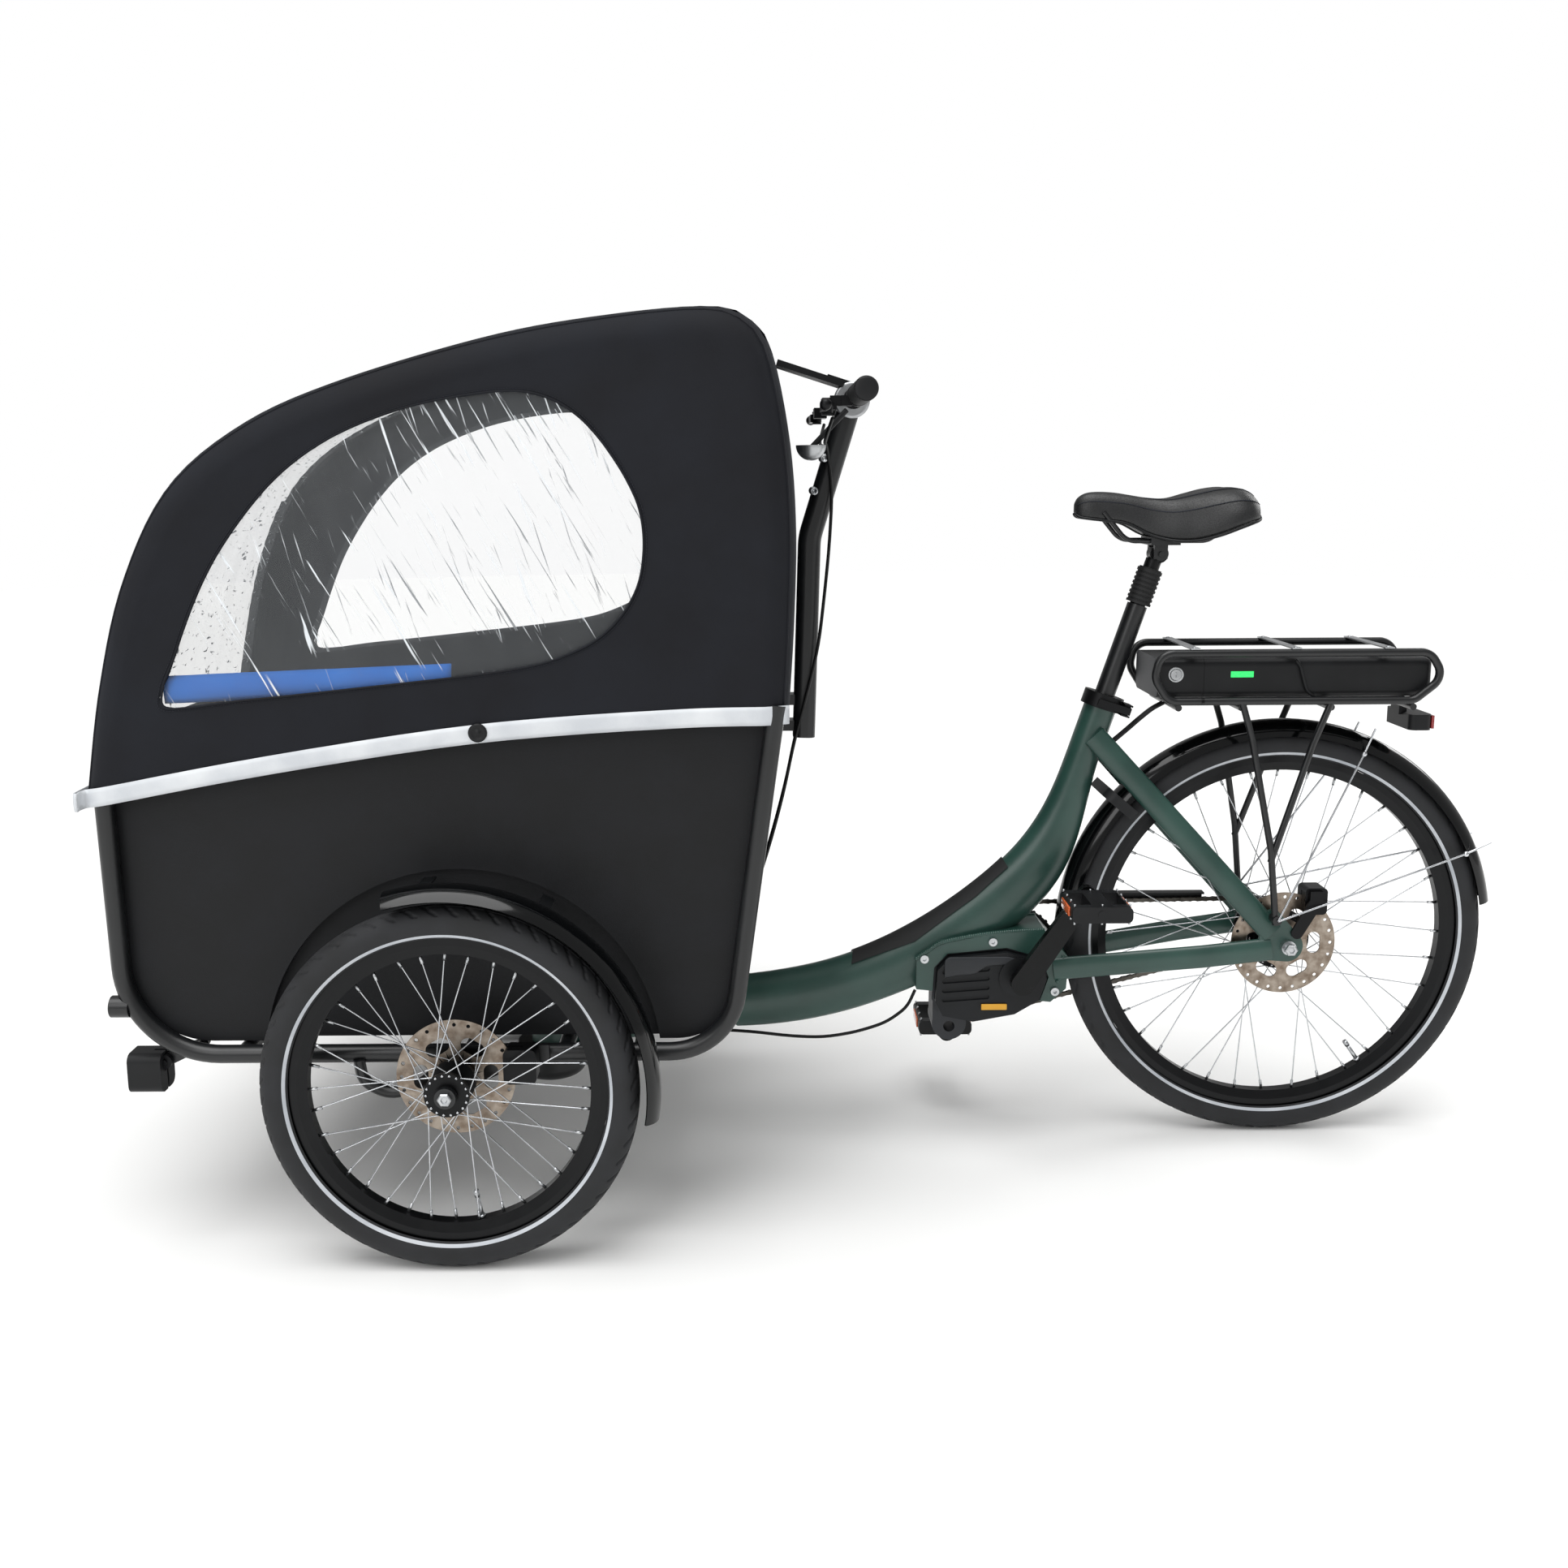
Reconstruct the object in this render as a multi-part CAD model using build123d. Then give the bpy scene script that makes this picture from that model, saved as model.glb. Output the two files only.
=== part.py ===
from build123d import *
from math import cos, pi, radians, sin, tan
import os

# A front-box electric cargo tricycle. The rear half is a step-through frame with a mid motor,
# one driven rear wheel and a carrier with the battery. The front half is a carriage: box, hood,
# handlebar and two wheels that steer together about one upright kingpin under the box floor.
# Millimetres. +X points to the rear, +Y to the rider's right, +Z up, the ground is Z = 0.
# While the pieces are made, X = 0 is at the front axles; at the end all move by frame_shift.

# ---- overall sizes ----
wheelbase = 1216
track = 820
hood_front = -496                 # front face of the hood at its hem
fender_outer_radius = 342         # rear fender
fender_tail_angle = 9
fender_tail = wheelbase + fender_outer_radius * cos(radians(fender_tail_angle))
frame_shift = -(hood_front + fender_tail) / 2

# ---- wheels ----
tyre_width = 47
front_bead_diameter = 406
rear_bead_diameter = 559
front_radius = front_bead_diameter / 2 + tyre_width
rear_radius = rear_bead_diameter / 2 + tyre_width
rim_depth = 17
rim_half_width = 12.5
rim_flange_height = 6
spoke_radius = 0.9
spokes_per_side = 18
spoke_lead_degrees = 60
rotor_radius = 80
rotor_thickness = 2
rear_rotor_y = 56                 # rear rotor, to the left of the middle
running_clearance = 0.05          # a shaft in its bearing, on the radius
body_clearance = 0.4              # pieces that move past each other
touch = 0.1                       # pieces of one body that lie beside each other

# ---- front wheel carrier ----
stub_axle_radius = 10
front_hub_radius = 15
front_flange_radius = 30
front_flange_offset = 22
front_rotor_offset = 38           # from the tyre's middle towards the box

# ---- carriage and box ----
rail_radius = 12.5
rail_height = 266
cross_tube_radius = 11
box_half_width = 316
box_wall = 6
rail_offset = box_half_width + rail_radius + touch
arch_radius = 272
arch_depth = 16
hood_wall = 4
hood_clearance = 0.3              # between the hood and the rails inside it
hood_half_width = rail_offset + rail_radius + hood_clearance + hood_wall
steering_axis_x = 75
kingpin_radius = 20
head_tube_radius = 32
head_tube_bottom = 156
head_tube_top = 248
head_cup_radius = 54
head_cup_bottom = 102

# ---- rear frame ----
frame_wall = 3
seat_tube_radius = 25
crank_x = 811
crank_z = 272
crank_length = 169
crank_angle = 56.1                # left crank, from the level rearwards direction
seat_angle = 18.3                 # seat tube, from the upright
seat_top_x = 940
seat_top_z = 703
post_radius = 15.4
dropout_inner = 70
dropout_thickness = 6
chainline = 56
chainring_radius = 86
sprocket_radius = 36
chain_height = 8
chain_width = 7
spindle_radius = 12

# ---- carrier and battery ----
carrier_half_width = 75
carrier_front = 997
carrier_rear = 1428
carrier_bottom = 707
carrier_top = 779
carrier_tube_radius = 6
battery_front = 1074
battery_rear = 1416
battery_bottom = 710
battery_top = 770
battery_half_width = 64

# ---- handlebar ----
bar_x = 549
bar_z = 1152
bar_radius = 11.1
bar_half_length = 318
grip_radius = 16
grip_length = 122

rear_axle = (wheelbase, rear_radius)
post_direction = Vector(sin(radians(seat_angle)), 0, cos(radians(seat_angle)))
seat_top = Vector(seat_top_x, 0, seat_top_z)
parts = {}


# ---- general helpers ----
def corner_radii(points, share=0.45):
    """Largest tangent arcs for a route, one for each corner."""
    radii = []
    for before, corner, after in zip(points, points[1:], points[2:]):
        run_in = Vector(*corner) - Vector(*before)
        run_out = Vector(*after) - Vector(*corner)
        half_turn = radians(run_in.get_angle(run_out)) / 2
        radii.append(share * min(run_in.length, run_out.length) / tan(half_turn))
    return radii


def tube(points, radius, bends=None, bore=0):
    """A round tube along straight runs joined by arcs."""
    if len(points) == 2:
        path = Line(points[0], points[1])
    else:
        path = FilletPolyline(*points, radius=bends or corner_radii(points))
    section = Circle(radius)
    if bore:
        section = section - Circle(bore)
    return sweep(Plane(origin=path @ 0, z_dir=path % 0) * section, path=path)


def cable(name, points, radius):
    """A cable or hose; its bend radii and its length are printed."""
    radii = corner_radii(points)
    path = FilletPolyline(*points, radius=radii)
    solid = sweep(Plane(origin=path @ 0, z_dir=path % 0) * Circle(radius), path=path)
    expected = pi * radius ** 2 * path.length
    print(f"{name}: length {path.length:.0f} mm, tightest arc {min(radii):.0f} mm, "
          f"volume/expected {solid.volume / expected:.4f}")
    return solid


def rod(start, end, radius):
    """A straight round bar from start to end."""
    run = Vector(*end) - Vector(*start)
    return Plane(origin=start, z_dir=run) * extrude(Circle(radius), run.length)


def across(x, z, y_from, y_to, radius, bore=0):
    """A round piece whose axis lies along Y."""
    section = Circle(radius)
    if bore:
        section = section - Circle(bore)
    low, high = min(y_from, y_to), max(y_from, y_to)
    return Plane(origin=(x, low, z), z_dir=(0, 1, 0)) * extrude(section, high - low)


def side_prism(sketch, y_from, y_to):
    """Extrude a sketch, drawn with X to the rear and Y up, from one Y to another."""
    low, high = min(y_from, y_to), max(y_from, y_to)
    plane = Plane(origin=(0, high, 0), x_dir=(1, 0, 0), z_dir=(0, -1, 0))
    return plane * extrude(sketch, high - low, dir=(0, 0, 1))


def block(x, y, z, length, width, height):
    """A box by its centre and its sizes along X, Y and Z."""
    return Pos(x, y, z) * Box(length, width, height)


def ring(x, y, z, sketch, start=0, sweep_degrees=360):
    """Turn a (across, radius) sketch about the Y axis through a point.
    Angles run from the rear, upwards."""
    placed = Plane(origin=(0, 0, 0), x_dir=(0, 1, 0), z_dir=(1, 0, 0)) * sketch
    turned = revolve(placed, Axis.Y, sweep_degrees)
    return Pos(x, y, z) * Rot(0, -(start + sweep_degrees) + 90, 0) * turned


def hull_plate(circles, y_from, y_to):
    """A flat plate around a set of (x, z, radius) circles."""
    edges = []
    for x, z, radius in circles:
        edges.extend((Pos(x, z) * Circle(radius)).edges())
    return side_prism(make_hull(edges), y_from, y_to)


def group(*pieces):
    """Separate solids that share one node."""
    solids = []
    for piece in pieces:
        if isinstance(piece, (list, tuple)):
            solids.extend(group(*piece))
        else:
            solids.extend(piece.solids())
    return solids


def seat_point(s, forward=0.0, y=0.0):
    """A point on the seat post's axis, s above the seat tube's mouth."""
    ahead = Vector(-cos(radians(seat_angle)), 0, sin(radians(seat_angle)))
    return seat_top + post_direction * s + ahead * forward + Vector(0, y, 0)


def on_post(s_from, s_to, radius, bore=0):
    """A round piece on the seat post's axis."""
    section = Circle(radius)
    if bore:
        section = section - Circle(bore)
    return Plane(origin=seat_point(s_from), z_dir=post_direction) * extrude(section, s_to - s_from)


# ---- wheels ----
def tyre_section(bead_radius):
    half = tyre_width / 2
    casing = Pos(0, bead_radius + half) * (Circle(half) - Circle(half - 3.5))
    casing -= Pos(0, bead_radius) * Rectangle(3 * half, 2 * (rim_flange_height + touch))
    bead_width = 3.2
    bead_centre = rim_half_width - 2.5 - touch - bead_width / 2
    bead = Rectangle(bead_width, 13, align=(Align.CENTER, Align.MIN))
    return casing + Pos(-bead_centre, bead_radius) * bead + Pos(bead_centre, bead_radius) * bead


def rim_section(bead_radius):
    flange = rim_half_width
    well = rim_half_width - 2.5
    outline = Polyline((-flange, rim_flange_height), (-flange, -4), (-8, -rim_depth), (8, -rim_depth),
                       (flange, -4), (flange, rim_flange_height), (well, rim_flange_height), (well, 0),
                       (-well, 0), (-well, rim_flange_height), (-flange, rim_flange_height))
    return Pos(0, bead_radius) * make_face(outline)


def spokes(x, y, z, bead_radius, flange_radius, flange_offsets):
    """Three-cross lacing: half of each flange's spokes lead and half trail."""
    seat_radius = bead_radius - rim_depth + 2
    pitch = 360 / spokes_per_side
    solids = []
    for side, offset in zip((-1, 1), flange_offsets):
        for k in range(spokes_per_side):
            lean = 1 if k % 2 == 0 else -1
            hub_angle = radians((k + (0.5 if side > 0 else 0)) * pitch)
            rim_angle = hub_angle + radians(lean * spoke_lead_degrees)
            hub_end = (x + flange_radius * cos(hub_angle), y + offset + lean * 1.6,
                       z + flange_radius * sin(hub_angle))
            rim_end = (x + seat_radius * cos(rim_angle), y + side * 3 + lean * 0.9,
                       z + seat_radius * sin(rim_angle))
            solids.append(rod(hub_end, rim_end, spoke_radius))
    return solids


def rotor(x, y, z):
    """A brake disc with a ring of holes and a spider's openings."""
    sketch = Circle(rotor_radius) - Circle(20)
    sketch -= PolarLocations(rotor_radius - 7, 24) * Circle(2.6)
    sketch -= PolarLocations(rotor_radius - 33, 6) * SlotOverall(34, 20, rotation=90)
    return side_prism(Pos(x, z) * sketch, y - rotor_thickness / 2, y + rotor_thickness / 2)


def front_wheel(name, side):
    x, y, z = 0, side * track / 2, front_radius
    bead = front_bead_diameter / 2
    parts[f"{name}_tyre"] = ring(x, y, z, tyre_section(bead))
    parts[f"{name}_rim"] = ring(x, y, z, rim_section(bead))
    parts[f"{name}_spokes"] = group(spokes(x, y, z, bead, front_flange_radius - 3,
                                           (-front_flange_offset, front_flange_offset)))
    rotor_y = y - side * front_rotor_offset
    inner_end = rotor_y - side * (rotor_thickness / 2)
    outer_end = y + side * 29
    hub = across(x, z, inner_end, outer_end, front_hub_radius)
    for offset in (-front_flange_offset, front_flange_offset):
        hub += across(x, z, y + offset - 3, y + offset + 3, front_flange_radius)
    hub += across(x, z, rotor_y + side * rotor_thickness / 2, y - side * front_flange_offset, 22)
    hub -= across(x, z, y - 60, y + 60, stub_axle_radius + running_clearance)
    disc = rotor(x, rotor_y, z)
    disc -= across(x, z, y - 60, y + 60, front_hub_radius + touch)
    disc += across(x, z, rotor_y - 1, rotor_y + 1, 22) - across(x, z, y - 60, y + 60, front_hub_radius + touch)
    parts[f"{name}_hub"] = group(hub, disc)


def rear_wheel():
    x, z = rear_axle
    bead = rear_bead_diameter / 2
    parts["rear_tyre"] = ring(x, 0, z, tyre_section(bead))
    parts["rear_rim"] = ring(x, 0, z, rim_section(bead))
    parts["rear_spokes"] = group(spokes(x, 0, z, bead, 44, (-32, 32)))
    inner_face = -rear_rotor_y + rotor_thickness / 2
    hub = across(x, z, -44, 44, 40)
    for offset in (-32, 32):
        hub += across(x, z, offset - 3, offset + 3, 48)
    hub += across(x, z, inner_face, -44, 24)
    hub += across(x, z, 44, chainline + 6, 20)
    hub -= across(x, z, -90, 90, 6 + running_clearance)
    disc = rotor(x, -rear_rotor_y, z)
    disc += across(x, z, inner_face - rotor_thickness, inner_face, 24)
    disc -= across(x, z, -90, 90, 6 + running_clearance)
    parts["rear_hub"] = group(hub, disc)
    teeth = Circle(sprocket_radius - 3) + PolarLocations(sprocket_radius - 4, 18) * Circle(3)
    sprocket = Pos(x, z) * (teeth - Circle(20 + running_clearance))
    parts["rear_sprocket"] = side_prism(sprocket, chainline - 1.2, chainline + 1.2)


# ---- rear frame ----
def beam_section(x, z, angle, height, width, shrink=0):
    plane = Plane(origin=(x, 0, z), x_dir=(0, 1, 0), z_dir=(cos(radians(angle)), 0, sin(radians(angle))))
    return plane * Ellipse(width / 2 - shrink, height / 2 - shrink)


beam_stations = [
    # centre x, centre z, direction above level, height, width
    (steering_axis_x, 208, 0, 76, 60),
    (250, 208, 3, 80, 62),
    (390, 219, 8, 84, 64),
    (520, 240, 14, 88, 64),
    (650, 290, 27, 92, 64),
    (775, 371, 40, 96, 62),
    (854, 458, 52, 84, 58),
    (894, 556, 66, 58, 50),
    (seat_top_x - 80 * sin(radians(seat_angle)), seat_top_z - 80 * cos(radians(seat_angle)),
     90 - seat_angle, 50, 49),
    (seat_top_x - 40 * sin(radians(seat_angle)), seat_top_z - 40 * cos(radians(seat_angle)),
     90 - seat_angle, 49, 49),
]
motor_outline = [(690, 206), (677, 232), (680, 285), (700, 307), (792, 316), (846, 300), (858, 268),
                 (846, 232), (806, 208), (740, 196)]
bracket_outline = [(652, 250), (652, 300), (690, 326), (760, 338), (850, 345), (889, 300), (886, 250), (862, 228)]
bracket_half_width = 44


def main_frame():
    outer = loft([beam_section(*station) for station in beam_stations])
    inner = loft([beam_section(*station, frame_wall) for station in beam_stations[1:]])
    frame = outer - inner
    frame += across_z(steering_axis_x, head_tube_bottom, head_tube_top, head_tube_radius)
    frame += on_post(-90, 0, seat_tube_radius)
    bracket = make_face(Polyline(*bracket_outline, close=True))
    frame += side_prism(bracket, -bracket_half_width, bracket_half_width)
    window = offset(make_face(Polyline(*motor_outline, close=True)), amount=body_clearance)
    frame -= side_prism(window, -80, 80)
    frame -= side_prism(Pos(745, 190) * Rectangle(300, 40), -80, 80)
    frame -= across_z(steering_axis_x, 0, head_tube_bottom, head_cup_radius + touch)
    frame -= across_z(steering_axis_x, 100, 300, kingpin_radius + running_clearance)
    frame -= on_post(-230, 20, post_radius + running_clearance)
    return frame


def across_z(x, z_from, z_to, radius):
    return Pos(x, 0, z_from) * extrude(Circle(radius), z_to - z_from)


def stay(points, height, width):
    """A flattened tube along straight runs with rounded corners."""
    path = FilletPolyline(*points, radius=60) if len(points) > 2 else Line(*points)
    start_plane = Plane(origin=path @ 0, x_dir=(0, 1, 0), z_dir=path % 0)
    return sweep(start_plane * Ellipse(width / 2, height / 2), path=path)


def rear_stays():
    solids = []
    for side in (-1, 1):
        middle = side * (dropout_inner + dropout_thickness / 2)
        chainstay = stay([(866, side * 41, 281), (1090, side * 69, 309), (1192, middle, 322)], 36, 17)
        seatstay = stay([(921, side * 27, 648), (1120, side * 65, 428), (1192, middle, 348)], 36, 16)
        plate = hull_plate([(*rear_axle, 24), (1186, 320, 15), (1190, 358, 15), (1192, 373, 12)],
                           side * dropout_inner, side * (dropout_inner + dropout_thickness))
        half = chainstay + seatstay + plate
        half -= across(*rear_axle, -100, 100, 6 + touch)
        solids.append(half)
    return solids


cover_reach = {-1: 54, 1: 49}     # how far the left and right covers stand out


def drive_unit():
    body = side_prism(make_face(Polyline(*motor_outline, close=True)), -37, 37)
    body += side_prism(Pos(706, 188) * Circle(27), -28, 28)
    body += side_prism(Pos(700, 215) * Rectangle(40, 60), -28, 28)
    body -= side_prism(Pos(706, 183) * Circle(9), -60, 60)
    body -= across(crank_x, crank_z, -90, 90, spindle_radius + running_clearance)
    return body


def drive_cover(side):
    """A ribbed side cover that stands out through the frame's bracket."""
    rim = offset(make_face(Polyline(*motor_outline, close=True)), amount=-4)
    face = cover_reach[side]
    cover = side_prism(rim, side * 37, side * face)
    cover += across(crank_x, crank_z, side * (face - 2), side * (face + 3), 32)
    for k in range(4):
        groove = Pos(728, 238 + 15 * k) * SlotOverall(74, 7, rotation=4)
        cover -= side_prism(groove, side * (face - 3), side * (face + 9))
    cover -= across(crank_x, crank_z, -90, 90, spindle_radius + body_clearance)
    return cover


def bracket_bolts():
    places = [(664, 300), (770, 327), (868, 246)]
    solids = []
    for x, z in places:
        for side in (-1, 1):
            head = across(x, z, side * bracket_half_width, side * (bracket_half_width + 5), 6.5)
            head -= across(x, z, side * (bracket_half_width + 2), side * (bracket_half_width + 6), 3)
            solids.append(head)
    return solids


def tube_protector():
    """A thin rubber strip on the step-through part of the beam."""
    outer = loft([beam_section(*station, -2.5) for station in beam_stations])
    strip = outer - loft([beam_section(*station) for station in beam_stations])
    cover = make_face(Polyline((572, 380), (552, 285), (650, 322), (745, 393), (795, 440), (770, 480),
                               (572, 480), close=True))
    return strip & side_prism(cover, -60, 60)


def head_cup():
    """The round damper housing that closes the lower end of the steering head."""
    cup = across_z(steering_axis_x, head_cup_bottom, head_tube_bottom, head_cup_radius)
    cup = fillet(cup.edges().filter_by(GeomType.CIRCLE).sort_by(Axis.Z)[0], 18)
    cup -= across_z(steering_axis_x, head_cup_bottom + 6, 300, kingpin_radius + running_clearance)
    return cup


lever_hub_place = (-7, -34, -20)  # along the post, ahead of it, and sideways


def seat_plane(s, forward, y):
    """A plane square to the seat post."""
    return Plane(origin=seat_point(s, forward, y), x_dir=(0, 1, 0), z_dir=post_direction)


def seat_collar():
    s, forward, y = lever_hub_place
    collar = on_post(-16, 6, 31)
    collar += seat_plane(s, forward, -2) * Box(22, 16, 14)
    for shift in (-8.5, 8.5):
        collar += seat_plane(s + shift, forward, -14) * Box(28, 14, 2.6)
    collar += seat_plane(s - 9, forward, y) * extrude(Circle(2.6), 18)
    collar -= on_post(-20, 0, seat_tube_radius + touch)
    return collar - on_post(-20, 20, post_radius + body_clearance)


def rear_fender():
    arc = ThreePointArc((-29, 318), (0, fender_outer_radius), (29, 318))
    inner = ThreePointArc((27, 318), (0, fender_outer_radius - 2.5), (-27, 318))
    section = make_face(Curve([arc, Line(arc @ 1, inner @ 0), inner, Line(inner @ 1, arc @ 0)]))
    return ring(*(rear_axle[0], 0, rear_axle[1]), section, fender_tail_angle, 168)


def fender_stays():
    """Wire stays from the dropout bolts to the fender, with their ball ends."""
    x, z = rear_axle
    solids = []
    for side in (-1, 1):
        foot = Vector(1192, side * 98, 373)
        for angle, reach in ((68, 332), (25, 332)):
            out = Vector(cos(radians(angle)), 0, sin(radians(angle)))
            clip = Vector(x, side * 32.5, z) + out * (reach - 18)
            tip = Vector(x, side * 31.5, z) + out * (reach + 24)
            run = (clip - foot).normalized()
            wire = rod(foot, clip, 1.6) + rod(clip - run * 3, tip, 1.6)
            wire += Pos(*clip) * Sphere(4.5)
            solids.append(wire)
    return solids


def carrier_frame():
    """Two upright side loops, their cross members and the four legs."""
    r = carrier_tube_radius
    low, high = carrier_bottom, carrier_top
    solids = None
    for side in (-1, 1):
        y = side * carrier_half_width
        corners = [(carrier_front + 70, y, low), (1385, y, low), (carrier_rear, y, 742), (1405, y, high),
                   (carrier_front + 8, y, high), (carrier_front, y, 742), (carrier_front + 22, y, low),
                   (carrier_front + 75, y, low)]
        loop = tube(corners, r, [24, 24, 24, 24, 24, 24])
        front_leg = tube([(1129, y, low), (1147, y, 650), (1180, side * 86, 480), (1192, side * 88, 365)], 5,
                         [40, 40])
        rear_leg = tube([(1263, y, low), (1238, y, 640), (1180, side * 86, 462)], 5, [50])
        foot = across(1192, 373, side * (dropout_inner + dropout_thickness), side * 96, 7)
        piece = loop + front_leg + rear_leg + foot
        solids = piece if solids is None else solids + piece
    for x in (1035, 1129, 1263, 1385):
        solids += across(x, low - r - 4, -carrier_half_width, carrier_half_width, 5)
    # the end bends are butt-welded to the straight lengths between them
    bend_front, bend_rear = carrier_front + 31, carrier_rear - 33
    straight = block((bend_front + bend_rear) / 2, 0, high / 2, bend_rear - bend_front, 400, high + 100)
    return group(solids & straight, solids - straight)


def carrier_bars():
    """The three bright straps across the top of the carrier."""
    z = carrier_top + carrier_tube_radius
    return [block(x, 0, z + 1, 14, 2 * carrier_half_width + 8, 2) for x in (1056, 1206, 1343)]


def battery_profile(front, rear, bottom, top, half_width, round_rear):
    body = block((front + rear) / 2, 0, (bottom + top) / 2, rear - front, 2 * half_width, top - bottom)
    body = fillet(body.edges().filter_by(Axis.X), 12)
    if round_rear:
        body = fillet(body.faces().sort_by(Axis.X)[-1].edges(), 10)
    return body


def battery_case():
    body = battery_profile(battery_front + body_clearance, battery_rear, battery_bottom, battery_top,
                           battery_half_width, True)
    body -= block(1240, 0, battery_bottom, 500, 40.8, 12.8)
    light = block(1131, -battery_half_width, 746, 34, 1, 9)
    return group(body - light, light)


def battery_dock():
    head = battery_profile(carrier_front + 8, battery_front, battery_bottom, battery_top,
                           battery_half_width, False)
    head -= across(1032, 746, -battery_half_width - 5, -52, 8 + running_clearance)
    rail_bottom = carrier_bottom - carrier_tube_radius + 1
    rail = block(1215, 0, (rail_bottom + battery_bottom + 6) / 2, 360, 40, battery_bottom + 6 - rail_bottom)
    return head + rail


def key_cylinder():
    barrel = across(1032, 746, -battery_half_width - 2, -52.2, 8)
    return barrel - block(1032, -battery_half_width - 2, 746, 2, 3, 8)


def tail_lamp():
    housing = block(1412, 0, 668, 34, 92, 24)
    housing = fillet(housing.edges().filter_by(Axis.Z), 10)
    bracket = block(1396, 0, 686, 12, 30, 20)
    lens = block(1412 + 19, 0, 668, 4, 84, 20)
    return group(housing + bracket, lens)


def ring_lock():
    """A horseshoe lock body that sits round the fender, under the seat stays."""
    angle = 139.5
    outline = Pos(0, 332) * RectangleRounded(114, 66, 20)
    opening = Pos(0, 305) * Rectangle(64, 88)
    slab = Plane(origin=(0, 0, 0), x_dir=(0, 1, 0), z_dir=(1, 0, 0)) * Pos(0, 0, -8) * extrude(outline - opening, 16)
    return Pos(rear_axle[0], 0, rear_axle[1]) * Rot(0, 90 - angle, 0) * slab


def chain_guard():
    top = block(1022, 55, 375.5, 204, 14, 3)
    side = block(1022, 62.5, 368, 204, 3, 18)
    strap = block(930, 62.5, 336, 14, 3, 78) + block(930, 61, 300, 14, 6, 6)
    return top + side + strap


def rear_caliper():
    x, z = rear_axle
    body = block(x + 42, -rear_rotor_y, z + 70, 34, 34, 42)
    body = fillet(body.edges().filter_by(Axis.Y), 7)
    body -= block(x + 42, -rear_rotor_y, z + 54, 60, rotor_thickness + 2 * body_clearance, 60)
    face = -dropout_inner - dropout_thickness - touch
    arm = hull_plate([(x + 13, z + 22, 9), (x + 38, z + 68, 10)], face, face - 4)
    arm += block(x + 40, -71, z + 76, 20, 18, 22)
    return body + arm


def rear_axle_set():
    x, z = rear_axle
    axle = across(x, z, -92, 92, 6)
    for side in (-1, 1):
        axle += across(x, z, side * (dropout_inner + dropout_thickness), side * 85, 11)
        inner = rear_rotor_y + rotor_thickness if side < 0 else chainline + 7
        axle += across(x, z, side * inner, side * dropout_inner, 9)
    return axle


def drive_chain():
    def loop(grow):
        front = (Pos(crank_x, crank_z) * Circle(chainring_radius + grow)).edges()
        rear = (Pos(*rear_axle) * Circle(sprocket_radius + grow)).edges()
        return make_hull([*front, *rear])
    band = loop(body_clearance + chain_height) - loop(body_clearance)
    return side_prism(band, chainline - chain_width / 2, chainline + chain_width / 2)


frame_cable_route = [(352, -6, 170.5), (400, -6, 167), (452, -6, 160), (508, -6, 157), (562, -6, 166),
                     (610, -6, 182), (642, -8, 208), (654, -8, 236)]
battery_cable_route = [(1029, 0, 696), (1012, 0, 687), (994, 0, 672), (972, 0, 652), (951, 0, 634)]


def frame_cables():
    solids = [cable("frame cable", frame_cable_route, 2.5)]
    for y in (-16, -6):
        route = [(x, y, z) for x, _, z in battery_cable_route]
        solids.append(cable("battery cable", route, 2.5))
    return solids


# ---- seat ----
post_bore_depth = 125


def seat_post():
    post = on_post(-170, 150, post_radius)
    return post - on_post(150 - post_bore_depth, 160, 12 + running_clearance)


saddle_pivot = seat_point(232, -2)


def suspension_head():
    head = on_post(60, 222, 12)
    head += across(saddle_pivot.X, saddle_pivot.Z, -11, 11, 14)
    return head - across(saddle_pivot.X, saddle_pivot.Z, -20, 20, 4 + running_clearance)


def post_bellows():
    bellows = on_post(152, 206, 19, 16)
    for k in range(7):
        bellows -= on_post(156 + 7 * k, 159 + 7 * k, 25, 17.5)
    bellows -= on_post(140, 220, 12.3) - on_post(160, 198, 12.3)
    cap = on_post(203, 208, 17, 12)
    return bellows + cap


def saddle_cradle():
    """Saddle rails with the clamp that grips them and its pivot bolt."""
    x, z = saddle_pivot.X, saddle_pivot.Z
    cradle = block(x + 4, 0, z + 20, 44, 62, 12)
    for side in (-1, 1):
        cradle += block(x, side * 17, z + 6, 20, 8, 26)
        cradle += across(x, z, side * 13, side * 21, 10)
    cradle += across(x, z, -25, 25, 4)
    for side in (-1, 1):
        y = side * 22
        cradle += tube([(926, y, 986), (962, y, z + 20), (1085, y, z + 20), (1118, y, 972)], 3.5, [30, 30])
    return cradle


def saddle():
    top = Spline((885, 994), (912, 1018), (965, 1019), (1028, 1013), (1089, 1022), (1136, 1014), (1155, 988))
    under = Spline((1155, 988), (1129, 964), (1075, 966), (1006, 972), (930, 984), (885, 994))
    side_view = make_face(Curve([top, under]))
    half = [(885, 0), (893, 18), (930, 24), (985, 34), (1050, 66), (1100, 84), (1140, 78), (1158, 0)]
    right = Spline(*half)
    left = Spline(*[(x, -y) for x, y in half])
    plan = make_face(Curve([right, left]))
    prism = extrude(plan, 1100, dir=(0, 0, 1)) & side_prism(side_view, -120, 120)
    return prism


def seat_lever():
    s, forward, y = lever_hub_place
    plane = seat_plane(s, forward, y)
    lever = plane * Pos(0, 0, -6) * extrude(Circle(7), 12)
    lever += plane * Pos(-14, 22, 0) * Box(5, 52, 11)
    lever += plane * Pos(-8, 0, 0) * Box(12, 9, 11)
    return lever - plane * Pos(0, 0, -9) * extrude(Circle(2.6 + running_clearance), 18)


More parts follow.
